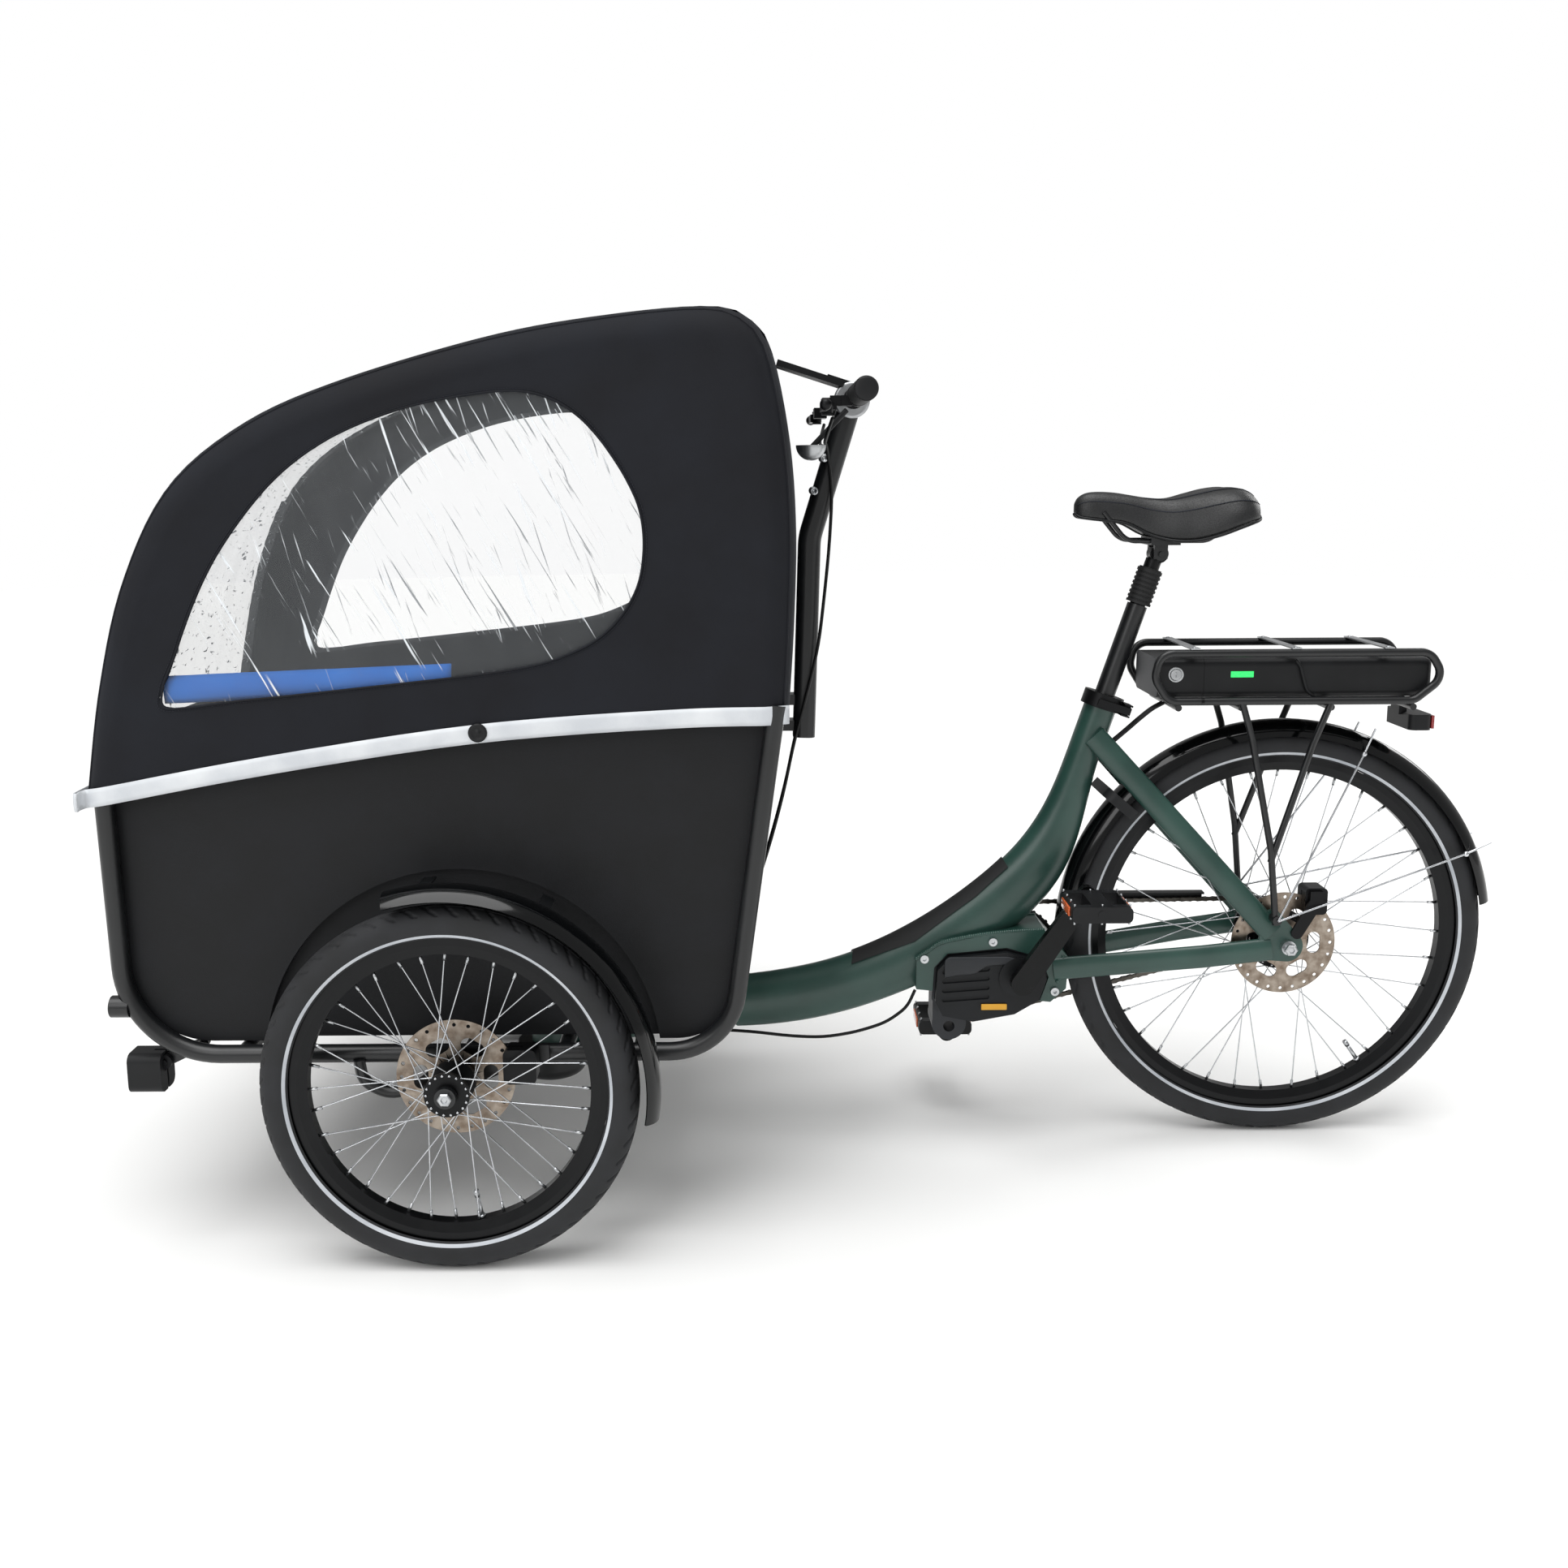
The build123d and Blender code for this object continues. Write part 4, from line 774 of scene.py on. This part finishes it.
def makeHood():
    # two walls of rings, the roof's rows between their outlines, and the front window's opening
    count, upper, columns = len(sideLoop), len(upperEdge), hood["acrossRoof"]
    points, faces, roofRows, openColumns = [], [], [], []
    rings = edgeSteps + wallSteps + 1
    for side in (-1, 1):
        first = len(points)
        for k in range(rings):
            points += [wallPoint(ringPoint(outer, inner, k), side)
                       for outer, inner in zip(sideLoop, windowLoop)]
        faces += gridFaces(rings, count, False, True, first)
    rightFirst, roofFirst = rings * count, len(points)
    for i in range(upper):
        low, high = points[i], points[rightFirst + i]
        run = (upperEdge[min(upper - 1, i + 2)] - upperEdge[max(0, i - 2)]).normalized()
        outward = Vector((-run.z, 0, run.x))
        fade = min(1, i / 10, (upper - 1 - i) / 10)
        row = []
        for j in range(1, columns):
            across = 2 * j / columns - 1
            q = low.lerp(high, j / columns)
            lift = (clothWave(Vector((q.x, q.y * 1.3, q.z))) / 1000 - roofDip(i / upper, across)) * fade
            row.append(q + outward * min(lift, hood["inside"]) * (1 - across ** 4))
        roofRows.append(row)
        points += row

    def corner(row, column):
        if column == 0:
            return row
        return rightFirst + row if column == columns else roofFirst + row * (columns - 1) + column - 1

    openFrom, openTo = int(frontWindow["from"] * upper), int(frontWindow["to"] * upper)
    for i in range(upper - 1):
        for j in range(columns):
            face = (corner(i, j), corner(i, j + 1), corner(i + 1, j + 1), corner(i + 1, j))
            middleY = sum(points[c].y for c in face) / 4
            if openFrom <= i < openTo and abs(middleY) < frontWindow["halfWidth"] / 1000:
                openColumns.append(j)
            else:
                faces.append(face)
    piece = newPiece("hood_canvas", points, faces, hoodCanvas)
    faceOutwards(piece)
    modifier(piece, "SOLIDIFY", thickness=hood["thickness"] / 1000, offset=-1)
    return piece, roofRows, (openFrom, openTo), (min(openColumns), max(openColumns) + 1)


hoodPiece, roofRows, openRows, openColumns = makeHood()
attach(hoodPiece, "front_carriage")
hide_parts("hood")


def makeSideWindow(name, side):
    # clear sheet behind the opening, with its creases as real ripples
    around, rings = sideWindow["around"], sideWindow["rings"]
    loop = smoothLine(windowLine[::8], around, closed=True)
    points = []
    for k in range(rings):
        t = sideWindow["lap"] * (k + 0.35) / (rings - 0.65)
        for q in loop:
            p = windowCentre.lerp(q, t)
            ripple = noise.noise(Vector((p.x * 34 + p.z * 13, side * 5, p.z * 5 - p.x * 6))) * 1.5
            ripple += noise.noise(Vector((p.x * 11 + p.z * 4, side * 2, p.z * 3))) * 2.2
            fade = min(1, max(0, (1 - t) / 0.12))
            depth = sideWindow["depth"] + 0.6 - ripple * fade
            points.append(wallPoint(p, side) - Vector((0, side * depth / 1000, 0)))
    faces = gridFaces(rings, around, False, True)
    centre = len(points)
    points.append(wallPoint(windowCentre, side) - Vector((0, side * sideWindow["depth"] / 1000, 0)))
    faces += [(centre, (k + 1) % around, k) for k in range(around)]
    return newPiece(name, points, faces, windowVinyl, "front_carriage")


def makeStitches(name, side):
    line = smoothLine(windowLine[::8], int(stitch["run"] / stitch["pitch"]), closed=True)
    made = []
    for a, b in zip(line, line[1:] + line[:1]):
        ends = []
        for t in (0.0, stitch["length"] / stitch["pitch"]):
            p = windowCentre + (a.lerp(b, t) - windowCentre) * sideWindow["stitchAt"]
            ends.append(wallPoint(p, side) + Vector((0, side * 0.0007, 0)))
        made.append(shortRod(*ends, stitch["radius"], 5))
    return newPiece(name, *joined(made), stitchThread, "front_carriage")


def makeWindowHem(name, side):
    # the turned and sewn edge round the opening
    line = smoothLine(windowLine[::8], 260, closed=True)
    path = [wallPoint(windowCentre + (q - windowCentre) * sideWindow["hemAt"], side)
            + Vector((0, side * 0.0002, 0)) for q in line]
    return newPiece(name, *sweptTube(path, 0.0016, 8, True), hoodCanvas, "front_carriage")


def roofPlace(row, column):
    # a point of the roof between its rows and columns, and the cloth's inward direction there
    low = min(int(row), openRows[1] - 1)
    left = max(1, min(hood["acrossRoof"] - 2, int(column)))
    (a, b), (c, d) = (roofRows[low + up][left - 1:left + 1] for up in (0, 1))
    run = (c - a).normalized()
    return a.lerp(b, column - left).lerp(c.lerp(d, column - left), row - low), Vector((run.z, 0, -run.x))


def makeFrontWindow():
    columns, rows = frontWindow["columns"], frontWindow["rows"]
    lap = 0.25
    points = []
    for i in range(rows + 1):
        row = openRows[0] + (openRows[1] - openRows[0]) * i / rows
        for j in range(columns + 1):
            column = openColumns[0] - lap + (openColumns[1] - openColumns[0] + 2 * lap) * j / columns
            p, inward = roofPlace(row, column)
            ripple = noise.noise(Vector((p.x * 20, p.y * 26, p.z * 8))) * frontWindow["ripple"]
            points.append(p + inward * (frontWindow["depth"] + ripple) / 1000)
    return newPiece("front_window", points, gridFaces(rows + 1, columns + 1), windowVinyl, "front_carriage")


panes = [makeSideWindow("left_window", -1), makeSideWindow("right_window", 1), makeFrontWindow()]
for side, word in bothSides:
    makeWindowHem(word + "_window_hem", side)
    makeStitches(word + "_window_stitching", side)

# the hood's reflective hem tape, its snap buttons, seams and top tab
tape = {"height": 25, "thickness": 0.9, "standOff": 1.4, "samples": 150}


def hemPath():
    # once round the hem: along the left side, across the front and back along the right side
    left = [wallPoint(p, -1) for p in hemEdge]
    right = [wallPoint(p, 1) for p in reversed(hemEdge)]
    return smoothLine(left + right, 2 * tape["samples"])


def makeHemTape():
    path = hemPath()
    points = []
    for k, p in enumerate(path):
        before, after = path[max(0, k - 1)], path[min(len(path) - 1, k + 1)]
        run = (after - before).normalized()
        outward = run.cross(Vector((0, 0, 1))).normalized()
        if outward.dot(p - Vector((frontAxle.x - 0.02, 0, p.z))) < 0:
            outward = -outward
        up = Vector((0, 0, 1))
        ripple = noise.noise(p * 26) * 0.0012 + noise.noise(p * 7) * 0.0016
        for level in (0, 0.25, 0.5, 0.75, 1):
            crown = sin(pi * level) * 0.0008
            points.append(p + up * (level * tape["height"] / 1000 - 0.002)
                          + outward * ((tape["standOff"] + 0.6) / 1000 + ripple + crown))
    piece = newPiece("hood_hem_tape", points, gridFaces(len(path), 5), stripTape)
    modifier(piece, "SOLIDIFY", thickness=tape["thickness"] / 1000, offset=-1)
    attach(piece, "front_carriage")
    return piece


hemTape = makeHemTape()


def makeSnapButton(name, x, z, side):
    centre = wallPoint(metres([(x, z)])[0], side)
    steps = [(0.0, 0.0125), (0.003, 0.0125), (0.0042, 0.011), (0.0042, 0.008), (0.0032, 0.007),
             (0.0036, 0.004), (0.0046, 0.0032)]
    profile = [(side * (0.0015 + along), radius) for along, radius in steps]
    return newPiece(name, *latheAcross(centre, profile, 32), matBlackPlastic, "front_carriage")


for side, word in bothSides:
    makeSnapButton(word + "_snap_button", 41, 713, side)

seams = []
for side in (-1, 1):
    path = [wallPoint(ringPoint(sideLoop[i], windowLoop[i], 3), side)
            for i in range(0, len(upperEdge) - 1, 2)]
    seams.append(sweptTube(path, 0.0017, 6))
seamPiece = newPiece("hood_seams", *joined(seams), hoodCanvas, "front_carriage")

tab = []
tabLoop = [(-0.016, -0.006), (-0.008, 0.012), (0.01, 0.013), (0.014, 0.0)]
for side in (-1, 1):
    middleOfTab = metres([(-208, 1140)])[0] + Vector((0, side * 0.012, 0))
    path = smoothLine([middleOfTab + Vector((x, 0, z)) for x, z in tabLoop], 14)
    tab.append(sweptTube(path, 0.0022, 8))
newPiece("hood_top_tab", *joined(tab), hoodCanvas, "front_carriage")

# a padded blue band round the inside of the box's rim
band = {"from": -372, "to": 6, "low": 752, "high": 788, "rise": 14, "setIn": 16, "puff": 3,
        "columns": 40, "rows": 6}
bandPoints = []
for k in range(band["columns"]):
    t = k / (band["columns"] - 1)
    x = band["from"] + (band["to"] - band["from"]) * t
    for level in range(band["rows"]):
        s = level / (band["rows"] - 1)
        z = band["low"] + band["rise"] * t + (band["high"] - band["low"]) * s
        puff = sin(pi * s) * band["puff"] / 1000 + noise.noise(Vector((x / 40, level, 1))) * 0.0012
        p = at(x, 0, z)
        bandPoints.append(Vector((p.x, -(wallReach(p.z) - band["setIn"] / 1000 + puff), p.z)))
blueBand = newPiece("inner_rim_band", bandPoints, gridFaces(band["columns"], band["rows"]), blueWebbing)
modifier(blueBand, "SOLIDIFY", thickness=0.003, offset=0)
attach(blueBand, "front_carriage")
print("hood sewn")

# the saddle: a padded cover over a moulded base
# stations from nose to tail: x, half width, top, lower edge, all in millimetres
saddle = {"stations": [(886, 3, 1000, 988), (892, 13, 1010, 981), (906, 20, 1017, 978), (930, 23, 1018, 975),
                       (962, 26, 1015, 970), (995, 32, 1010, 953), (1025, 45, 1008, 945),
                       (1055, 63, 1015, 945), (1085, 77, 1022, 953), (1112, 83, 1024, 964),
                       (1134, 77, 1019, 972), (1149, 58, 1010, 977), (1157, 26, 1000, 984)],
          "samples": 56, "over": 26, "under": 9, "channel": 5.0, "wing": 3.0, "waist": 0.0225,
          "cover": 2.2, "fill": 0.9, "seams": [(0.62, 3, 52), (0.3, 22, 50)]}


def saddleStation(t):
    places = saddle["stations"]
    k = min(len(places) - 2, int(t * (len(places) - 1)))
    s = t * (len(places) - 1) - k
    quad = [places[max(0, min(len(places) - 1, k + shift))] for shift in (-1, 0, 1, 2)]
    return [catmullRom(*values, s) for values in zip(*quad)]


def bell(away, width):
    return exp(-(away / width) ** 2)


def saddlePoint(t, across):
    # across runs from -1, the left lower edge, over the top to 1
    x, half, top, low = saddleStation(t)
    angle = radians(90) * across
    y = half * abs(sin(angle)) ** 0.82 * (1 if across > 0 else -1)
    drop = (top - low) * (1 - abs(cos(angle)) ** 0.72)
    rear = min(1, max(0, (x - 950) / 60)) * min(1, max(0, (1150 - x) / 24))
    dip = saddle["channel"] * rear * bell(y, 9.5)
    wing = saddle["wing"] * rear * bell(abs(y) - half * 0.55, half * 0.3 + 1)
    waist = saddle["waist"] * rear * bell(abs(across) - 0.72, 0.07)
    return at(x, y * (1 - waist), top - drop - dip + wing - saddle["cover"])


def makeSaddle():
    samples, over, under = saddle["samples"], saddle["over"], saddle["under"]
    points = []
    for i in range(samples):
        t = i / (samples - 1)
        x, half, top, low = saddleStation(t)
        points += [saddlePoint(t, 2 * j / over - 1) for j in range(over + 1)]
        for j in range(1, under):
            hollow = 3.5 * sin(pi * j / under)
            points.append(at(x, half * (1 - 2 * j / under) * 0.94, low + hollow - saddle["cover"]))
    columns = over + under
    faces = gridFaces(samples, columns, False, True)
    faces.append(tuple(range(columns))[::-1])
    faces.append(tuple(range((samples - 1) * columns, samples * columns)))
    piece = newPiece("saddle_cover", points, faces, saddleLeather)
    modifier(piece, "SUBSURF", levels=1, render_levels=1)
    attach(piece, "saddle")
    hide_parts("saddle")
    seams, skirt = [], []
    for side in (-1, 1):
        for place, first, last in saddle["seams"]:
            path = [saddlePoint(i / (samples - 1), side * place) + Vector((0, 0, 0.0002))
                    for i in range(first, last)]
            seams.append(sweptTube(path, 0.0007, 6))
        path = [saddlePoint(i / (samples - 1), side * 0.995) - Vector((0, 0, 0.0008))
                for i in range(2, samples - 2)]
        skirt.append(sweptTube(path, 0.0022, 8))
    newPiece("saddle_seams", *joined(seams), stitchThread, "saddle")
    newPiece("saddle_base_rim", *joined(skirt), matBlackPlastic, "saddle")


makeSaddle()
print("saddle padded")

# roller chain: plates, pins and rollers along the loop
chain = {"front": 0.0885, "rear": 0.0386, "links": 96, "plate": 0.0037, "waist": 0.0026, "thick": 0.0009,
         "outer": 0.0029, "inner": 0.0018, "roller": 0.0031, "pin": 0.0016, "line": 0.056}
crankAxis = Vector((at(811, 0, 0).x, 0, at(0, 0, 272).z))


def chainPath(distance):
    # a point on the loop a distance along it, and the whole length
    gap = rearAxle - crankAxis
    span = hypot(gap.x, gap.z)
    lean = atan2(gap.z, gap.x)
    spread = acos((chain["front"] - chain["rear"]) / span)
    run = span * sin(spread)
    frontArc = chain["front"] * (2 * pi - 2 * spread)
    rearArc = chain["rear"] * 2 * spread
    total = 2 * run + frontArc + rearArc
    d = distance % total
    up = Vector((cos(lean + spread), 0, sin(lean + spread)))
    down = Vector((cos(lean - spread), 0, sin(lean - spread)))
    if d < run:
        return (crankAxis + up * chain["front"]).lerp(rearAxle + up * chain["rear"], d / run), total
    d -= run
    if d < rearArc:
        angle = lean + spread - d / chain["rear"]
        return rearAxle + Vector((cos(angle), 0, sin(angle))) * chain["rear"], total
    d -= rearArc
    if d < run:
        return (rearAxle + down * chain["rear"]).lerp(crankAxis + down * chain["front"], d / run), total
    d -= run
    angle = lean - spread - d / chain["front"]
    return crankAxis + Vector((cos(angle), 0, sin(angle))) * chain["front"], total


def linkPlate(a, b, y):
    # a figure-eight side plate between two pins
    run = (b - a).normalized()
    side = Vector((-run.z, 0, run.x))
    outline = []
    for centre, turn in ((b, 0), (a, 180)):
        for angle in range(-70, 71, 28):
            way = radians(angle + turn)
            outline.append(centre + (run * cos(way) + side * sin(way)) * chain["plate"])
        sign = 1 if turn == 0 else -1
        outline.append((a + b) / 2 + side * chain["waist"] * sign)
    points = []
    for edge in (-chain["thick"] / 2, chain["thick"] / 2):
        points += [p + Vector((0, y + edge, 0)) for p in outline]
    count = len(outline)
    faces = [tuple(range(count))[::-1], tuple(range(count, 2 * count))]
    faces += [(k, (k + 1) % count, count + (k + 1) % count, count + k) for k in range(count)]
    return points, faces


def makeChain():
    total = chainPath(0)[1]
    pins = [chainPath(total * k / chain["links"])[0] for k in range(chain["links"])]
    made = []
    for k, a in enumerate(pins):
        b = pins[(k + 1) % chain["links"]]
        outerLink = k % 2 == 0
        reach = chain["outer"] if outerLink else chain["inner"]
        for side in (-1, 1):
            made.append(linkPlate(a, b, chain["line"] + side * reach))
        centre = a + Vector((0, chain["line"], 0))
        made.append(latheAcross(centre, [(-0.0013, chain["roller"]), (0.0013, chain["roller"])], 10))
        pinReach = chain["outer"] + 0.0005
        made.append(latheAcross(centre, [(-pinReach, chain["pin"]), (pinReach, chain["pin"])], 8))
    piece = newPiece("roller_chain", *joined(made), chainSteel, "rear_frame", smooth=False)
    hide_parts("chain")


makeChain()
print("chain linked")


def roundedBlock(name, centre, size, radius, material, body):
    # a moulded block with rounded edges
    signs = [(sx, sy, sz) for sx in (-0.5, 0.5) for sy in (-0.5, 0.5) for sz in (-0.5, 0.5)]
    corners = [centre + Vector([sign * length for sign, length in zip(corner, size)]) for corner in signs]
    faces = [(0, 1, 3, 2), (4, 6, 7, 5), (0, 4, 5, 1), (2, 3, 7, 6), (0, 2, 6, 4), (1, 5, 7, 3)]
    piece = newPiece(name, corners, faces, material)
    modifier(piece, "BEVEL", width=radius, segments=3, limit_method="NONE")
    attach(piece, body)


# pedals: steel pins and reflectors
pedal = {"length": 0.088, "height": 0.024, "middle": 0.1435, "pinRadius": 0.0017, "pinHeight": 0.0032,
         "pinFoot": 0.001, "pins": [(x, y) for x in (-0.04, 0, 0.04) for y in (-0.04, -0.014, 0.014, 0.04)
                                    if x or abs(y) > 0.03],
         "reflector": (0.003, 0.052, 0.014), "reflectorOut": 0.0006}
for side, word in bothSides:
    node = "pedal_" + word
    centre = middle(node)
    centre.y = side * pedal["middle"]
    pins = []
    for x, y in pedal["pins"]:
        for level in (-1, 1):
            foot = centre + Vector((x, y, level * (pedal["height"] / 2 - pedal["pinFoot"])))
            top = foot + Vector((0, 0, level * (pedal["pinHeight"] + pedal["pinFoot"])))
            pins.append(shortRod(foot, top, pedal["pinRadius"]))
    newPiece(node + "_pins", *joined(pins), brightBolt, node)
    for end, edge in ((-1, "front"), (1, "back")):
        place = centre + Vector((end * (pedal["length"] / 2 + pedal["reflectorOut"]), 0, 0))
        roundedBlock(f"{node}_{edge}_reflector", place, pedal["reflector"], 0.0012, orangeReflex, node)

# drive unit trim: the amber plate, and a shield whose rows are (share of its height, how far out)
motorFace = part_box("drive_cover")[0].y
roundedBlock("motor_amber_plate", Vector((at(772, 0, 0).x, motorFace + 0.0006, at(0, 0, 225).z)),
             (0.040, 0.0028, 0.0095), 0.0012, amberPlate, "rear_frame")
shield = {"lower": [(694, 272), (716, 276), (742, 279), (762, 291), (800, 293), (838, 290)], "top": 306,
          "frontDrop": (700, 0.9), "rearDrop": (792, 0.28), "columns": 40,
          "rows": [(0.0, 1.0), (0.25, 2.0), (0.6, 1.6), (1.0, 0.4)]}
shieldPoints = []
for p in smoothLine([(x, 0, z) for x, z in shield["lower"]], shield["columns"]):
    top = shield["top"] - max(0, shield["frontDrop"][0] - p.x) * shield["frontDrop"][1]
    top -= max(0, p.x - shield["rearDrop"][0]) * shield["rearDrop"][1]
    for level, reach in shield["rows"]:
        place = at(p.x, 0, p.z + (top - p.z) * level)
        shieldPoints.append(Vector((place.x, motorFace + 0.004 - reach / 1000, place.z)))
shieldPiece = newPiece("motor_upper_shield", shieldPoints, gridFaces(shield["columns"], 4), motorShell)
modifier(shieldPiece, "SOLIDIFY", thickness=0.0022, offset=-1)
modifier(shieldPiece, "SUBSURF", levels=1, render_levels=1)
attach(shieldPiece, "rear_frame")

# weld beads on the frame: overlapping pools along each joint
weld = {"pitch": 0.0034, "radius": 0.0036,
        "pool": [(-0.9, 0.43), (-0.6, 0.8), (0.0, 1.0), (0.6, 0.8), (0.9, 0.43)]}


def makeWeld(name, path, body, material):
    pools = []
    for p in path:
        size = weld["radius"] * (1 + 0.12 * noise.noise(p * 300))
        pools.append(turnedSteps(p, [(along * size, radius * size) for along, radius in weld["pool"]], 10))
    newPiece(name, *joined(pools), material, body)


def weldRun(points):
    length = sum((Vector(b) - Vector(a)).length for a, b in zip(points, points[1:])) / 1000
    return smoothLine([at(*p) for p in points], max(4, int(length / weld["pitch"])))


for side, word in bothSides:
    bracketTop = [(652, side * 43, 300), (668, side * 43, 311), (690, side * 43, 325), (726, side * 42, 333),
                  (760, side * 41, 338), (806, side * 40, 342), (848, side * 40, 344)]
    makeWeld(word + "_bracket_weld", weldRun(bracketTop), "rear_frame", greenCoat)
    stayFoot = [(880, side * 43, 302), (882, side * 43, 288), (880, side * 43, 272), (872, side * 43, 262)]
    makeWeld(word + "_stay_weld", weldRun(stayFoot), "rear_frame", greenCoat)

# handlebar post: clamp ring, cover bolts and the grip ends; steps are (along the axis, radius)
barTrim = {"ring": [(-0.0265, 0.0225), (-0.0265, 0.0262), (-0.0225, 0.0268), (-0.0225, 0.0225)],
           "bolt": [(0.0, 0.0062), (0.0032, 0.0062), (0.0042, 0.0052), (0.0042, 0.003), (0.0022, 0.003)],
           "boltsAt": [(508, 1068), (493, 1020)], "boltsOut": 28,
           "cap": [(0.0, 0.0155), (0.0016, 0.0155), (0.0026, 0.013), (0.003, 0.004)], "capAt": 0.3215}
newPiece("bar_clamp_ring", *turnedSteps(bar["centre"], barTrim["ring"], 56), brushedBar, "front_carriage")
for k, (x, z) in enumerate(barTrim["boltsAt"]):
    for side, word in bothSides:
        head = turnedSteps(at(x, side * barTrim["boltsOut"], z), barTrim["bolt"], 24, side)
        newPiece(f"post_bolt_{k}_{word}", *head, brightBolt, "front_carriage")
for side, word in bothSides:
    capPlace = bar["centre"] + Vector((0, side * barTrim["capAt"], 0))
    cap = turnedSteps(capPlace, barTrim["cap"], 32, side)
    newPiece(word + "_grip_cap", *cap, matBlackPlastic, "front_carriage")

# luggage carrier trim: strap rivets, side clip, key escutcheon
carrierTrim = {"rivetsAt": (1056, 1206, 1343), "rivetsOut": 0.072,
               "rivet": [(0, 0.0036), (0.0008, 0.0032), (0.0014, 0.0018)],
               "clip": [(1209, -66.6, 768), (1216, -67.4, 758), (1221, -67.4, 742), (1228, -67.4, 722),
                        (1240, -66.6, 711)],
               "key": [(-0.0008, 0.0118), (-0.0016, 0.0112), (-0.0016, 0.0086), (-0.0002, 0.0086)]}
rivets = []
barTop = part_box("carrier_bars")[1].z
for x in carrierTrim["rivetsAt"]:
    for side in (-1, 1):
        centre = Vector((at(x, 0, 0).x, side * carrierTrim["rivetsOut"], barTop))
        rivets.append(latheAcross(centre, carrierTrim["rivet"], 14, "Z"))
newPiece("strap_rivets", *joined(rivets), brightBolt, "rear_frame")
clipPath = smoothLine([at(*p) for p in carrierTrim["clip"]], 24)
newPiece("battery_side_clip", *sweptTube(clipPath, 0.0026, 8), matBlackPlastic, "rear_frame")
keyPlace = Vector((at(1032, 0, 0).x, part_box("battery_dock")[0].y, at(0, 0, 746).z))
newPiece("key_escutcheon", *latheAcross(keyPlace, carrierTrim["key"], 40), brushedBar, "rear_frame")
print("trim fitted")

# floor, light and camera
studio = {"floor": "#fbfbfa", "floorRadius": 14, "room": 0.4, "sun": 2.3, "front": 40, "rear": 36}
floorMaterial = newMaterial("matt_studio_floor", studio["floor"], roughness=0.9).material
corners = [2 * pi * k / 64 for k in range(64)]
floorPoints = [Vector((studio["floorRadius"] * cos(angle), studio["floorRadius"] * sin(angle), -0.0002))
               for angle in corners]
floor = newPiece("studio_floor", floorPoints, [tuple(range(64))], floorMaterial)

world = bpy.data.worlds.new("soft_white_room")
bpy.context.scene.world = world
world.use_nodes = True
roomLight = world.node_tree.nodes["Background"]
roomLight.inputs["Color"].default_value = (1, 1, 1, 1)
roomLight.inputs["Strength"].default_value = studio["room"]
backdrop = addNode(world, "ShaderNodeBackground", {"Color": (1, 1, 1, 1), "Strength": 1.0})
seen = addNode(world, "ShaderNodeLightPath")
choose = addNode(world, "ShaderNodeMixShader", links={"Fac": seen.outputs["Is Camera Ray"],
                                                      1: roomLight.outputs[0], 2: backdrop.outputs[0]})
world.node_tree.links.new(choose.outputs[0], world.node_tree.nodes["World Output"].inputs["Surface"])


def softbox(name, place, target, size, power):
    lamp = bpy.data.lights.new(name, "AREA")
    lamp.shape = "RECTANGLE"
    lamp.size, lamp.size_y = size
    lamp.energy = power
    holder = bpy.data.objects.new(name, lamp)
    bpy.context.scene.collection.objects.link(holder)
    holder.location = place
    holder.rotation_euler = (Vector(target) - Vector(place)).to_track_quat("-Z", "Y").to_euler()


ceiling = bpy.data.lights.new("ceiling_light", "SUN")
ceiling.energy = studio["sun"]
ceiling.angle = radians(50)
ceilingHolder = bpy.data.objects.new("ceiling_light", ceiling)
bpy.context.scene.collection.objects.link(ceilingHolder)
ceilingHolder.rotation_euler = (radians(12), radians(-8), 0)
softbox("front_softbox", (-2.2, -3.6, 2.6), (-0.3, 0, 0.6), (1.6, 2.4), studio["front"])
softbox("rear_softbox", (3.2, 2.2, 2.4), (0.3, 0, 0.7), (1.4, 2.2), studio["rear"])

camera = bpy.data.cameras.new("camera")
camera.lens, camera.sensor_width = 33.76, 36
camera.shift_x, camera.shift_y = 0.0155, -0.0393
cameraHolder = bpy.data.objects.new("camera", camera)
bpy.context.scene.collection.objects.link(cameraHolder)
yaw, pitch, roll = radians(0.05), radians(-9.5), radians(0.36)
turn = Matrix.Rotation(yaw, 4, "Z") @ Matrix.Rotation(pitch, 4, "X") @ Matrix.Rotation(roll, 4, "Y")
cameraHolder.matrix_world = (Matrix.Translation(at(412, -2241, 1042)) @ turn
                             @ Matrix.Rotation(radians(90), 4, "X"))
bpy.context.scene.camera = cameraHolder
bpy.context.scene.view_settings.view_transform = "Standard"
print("studio set")
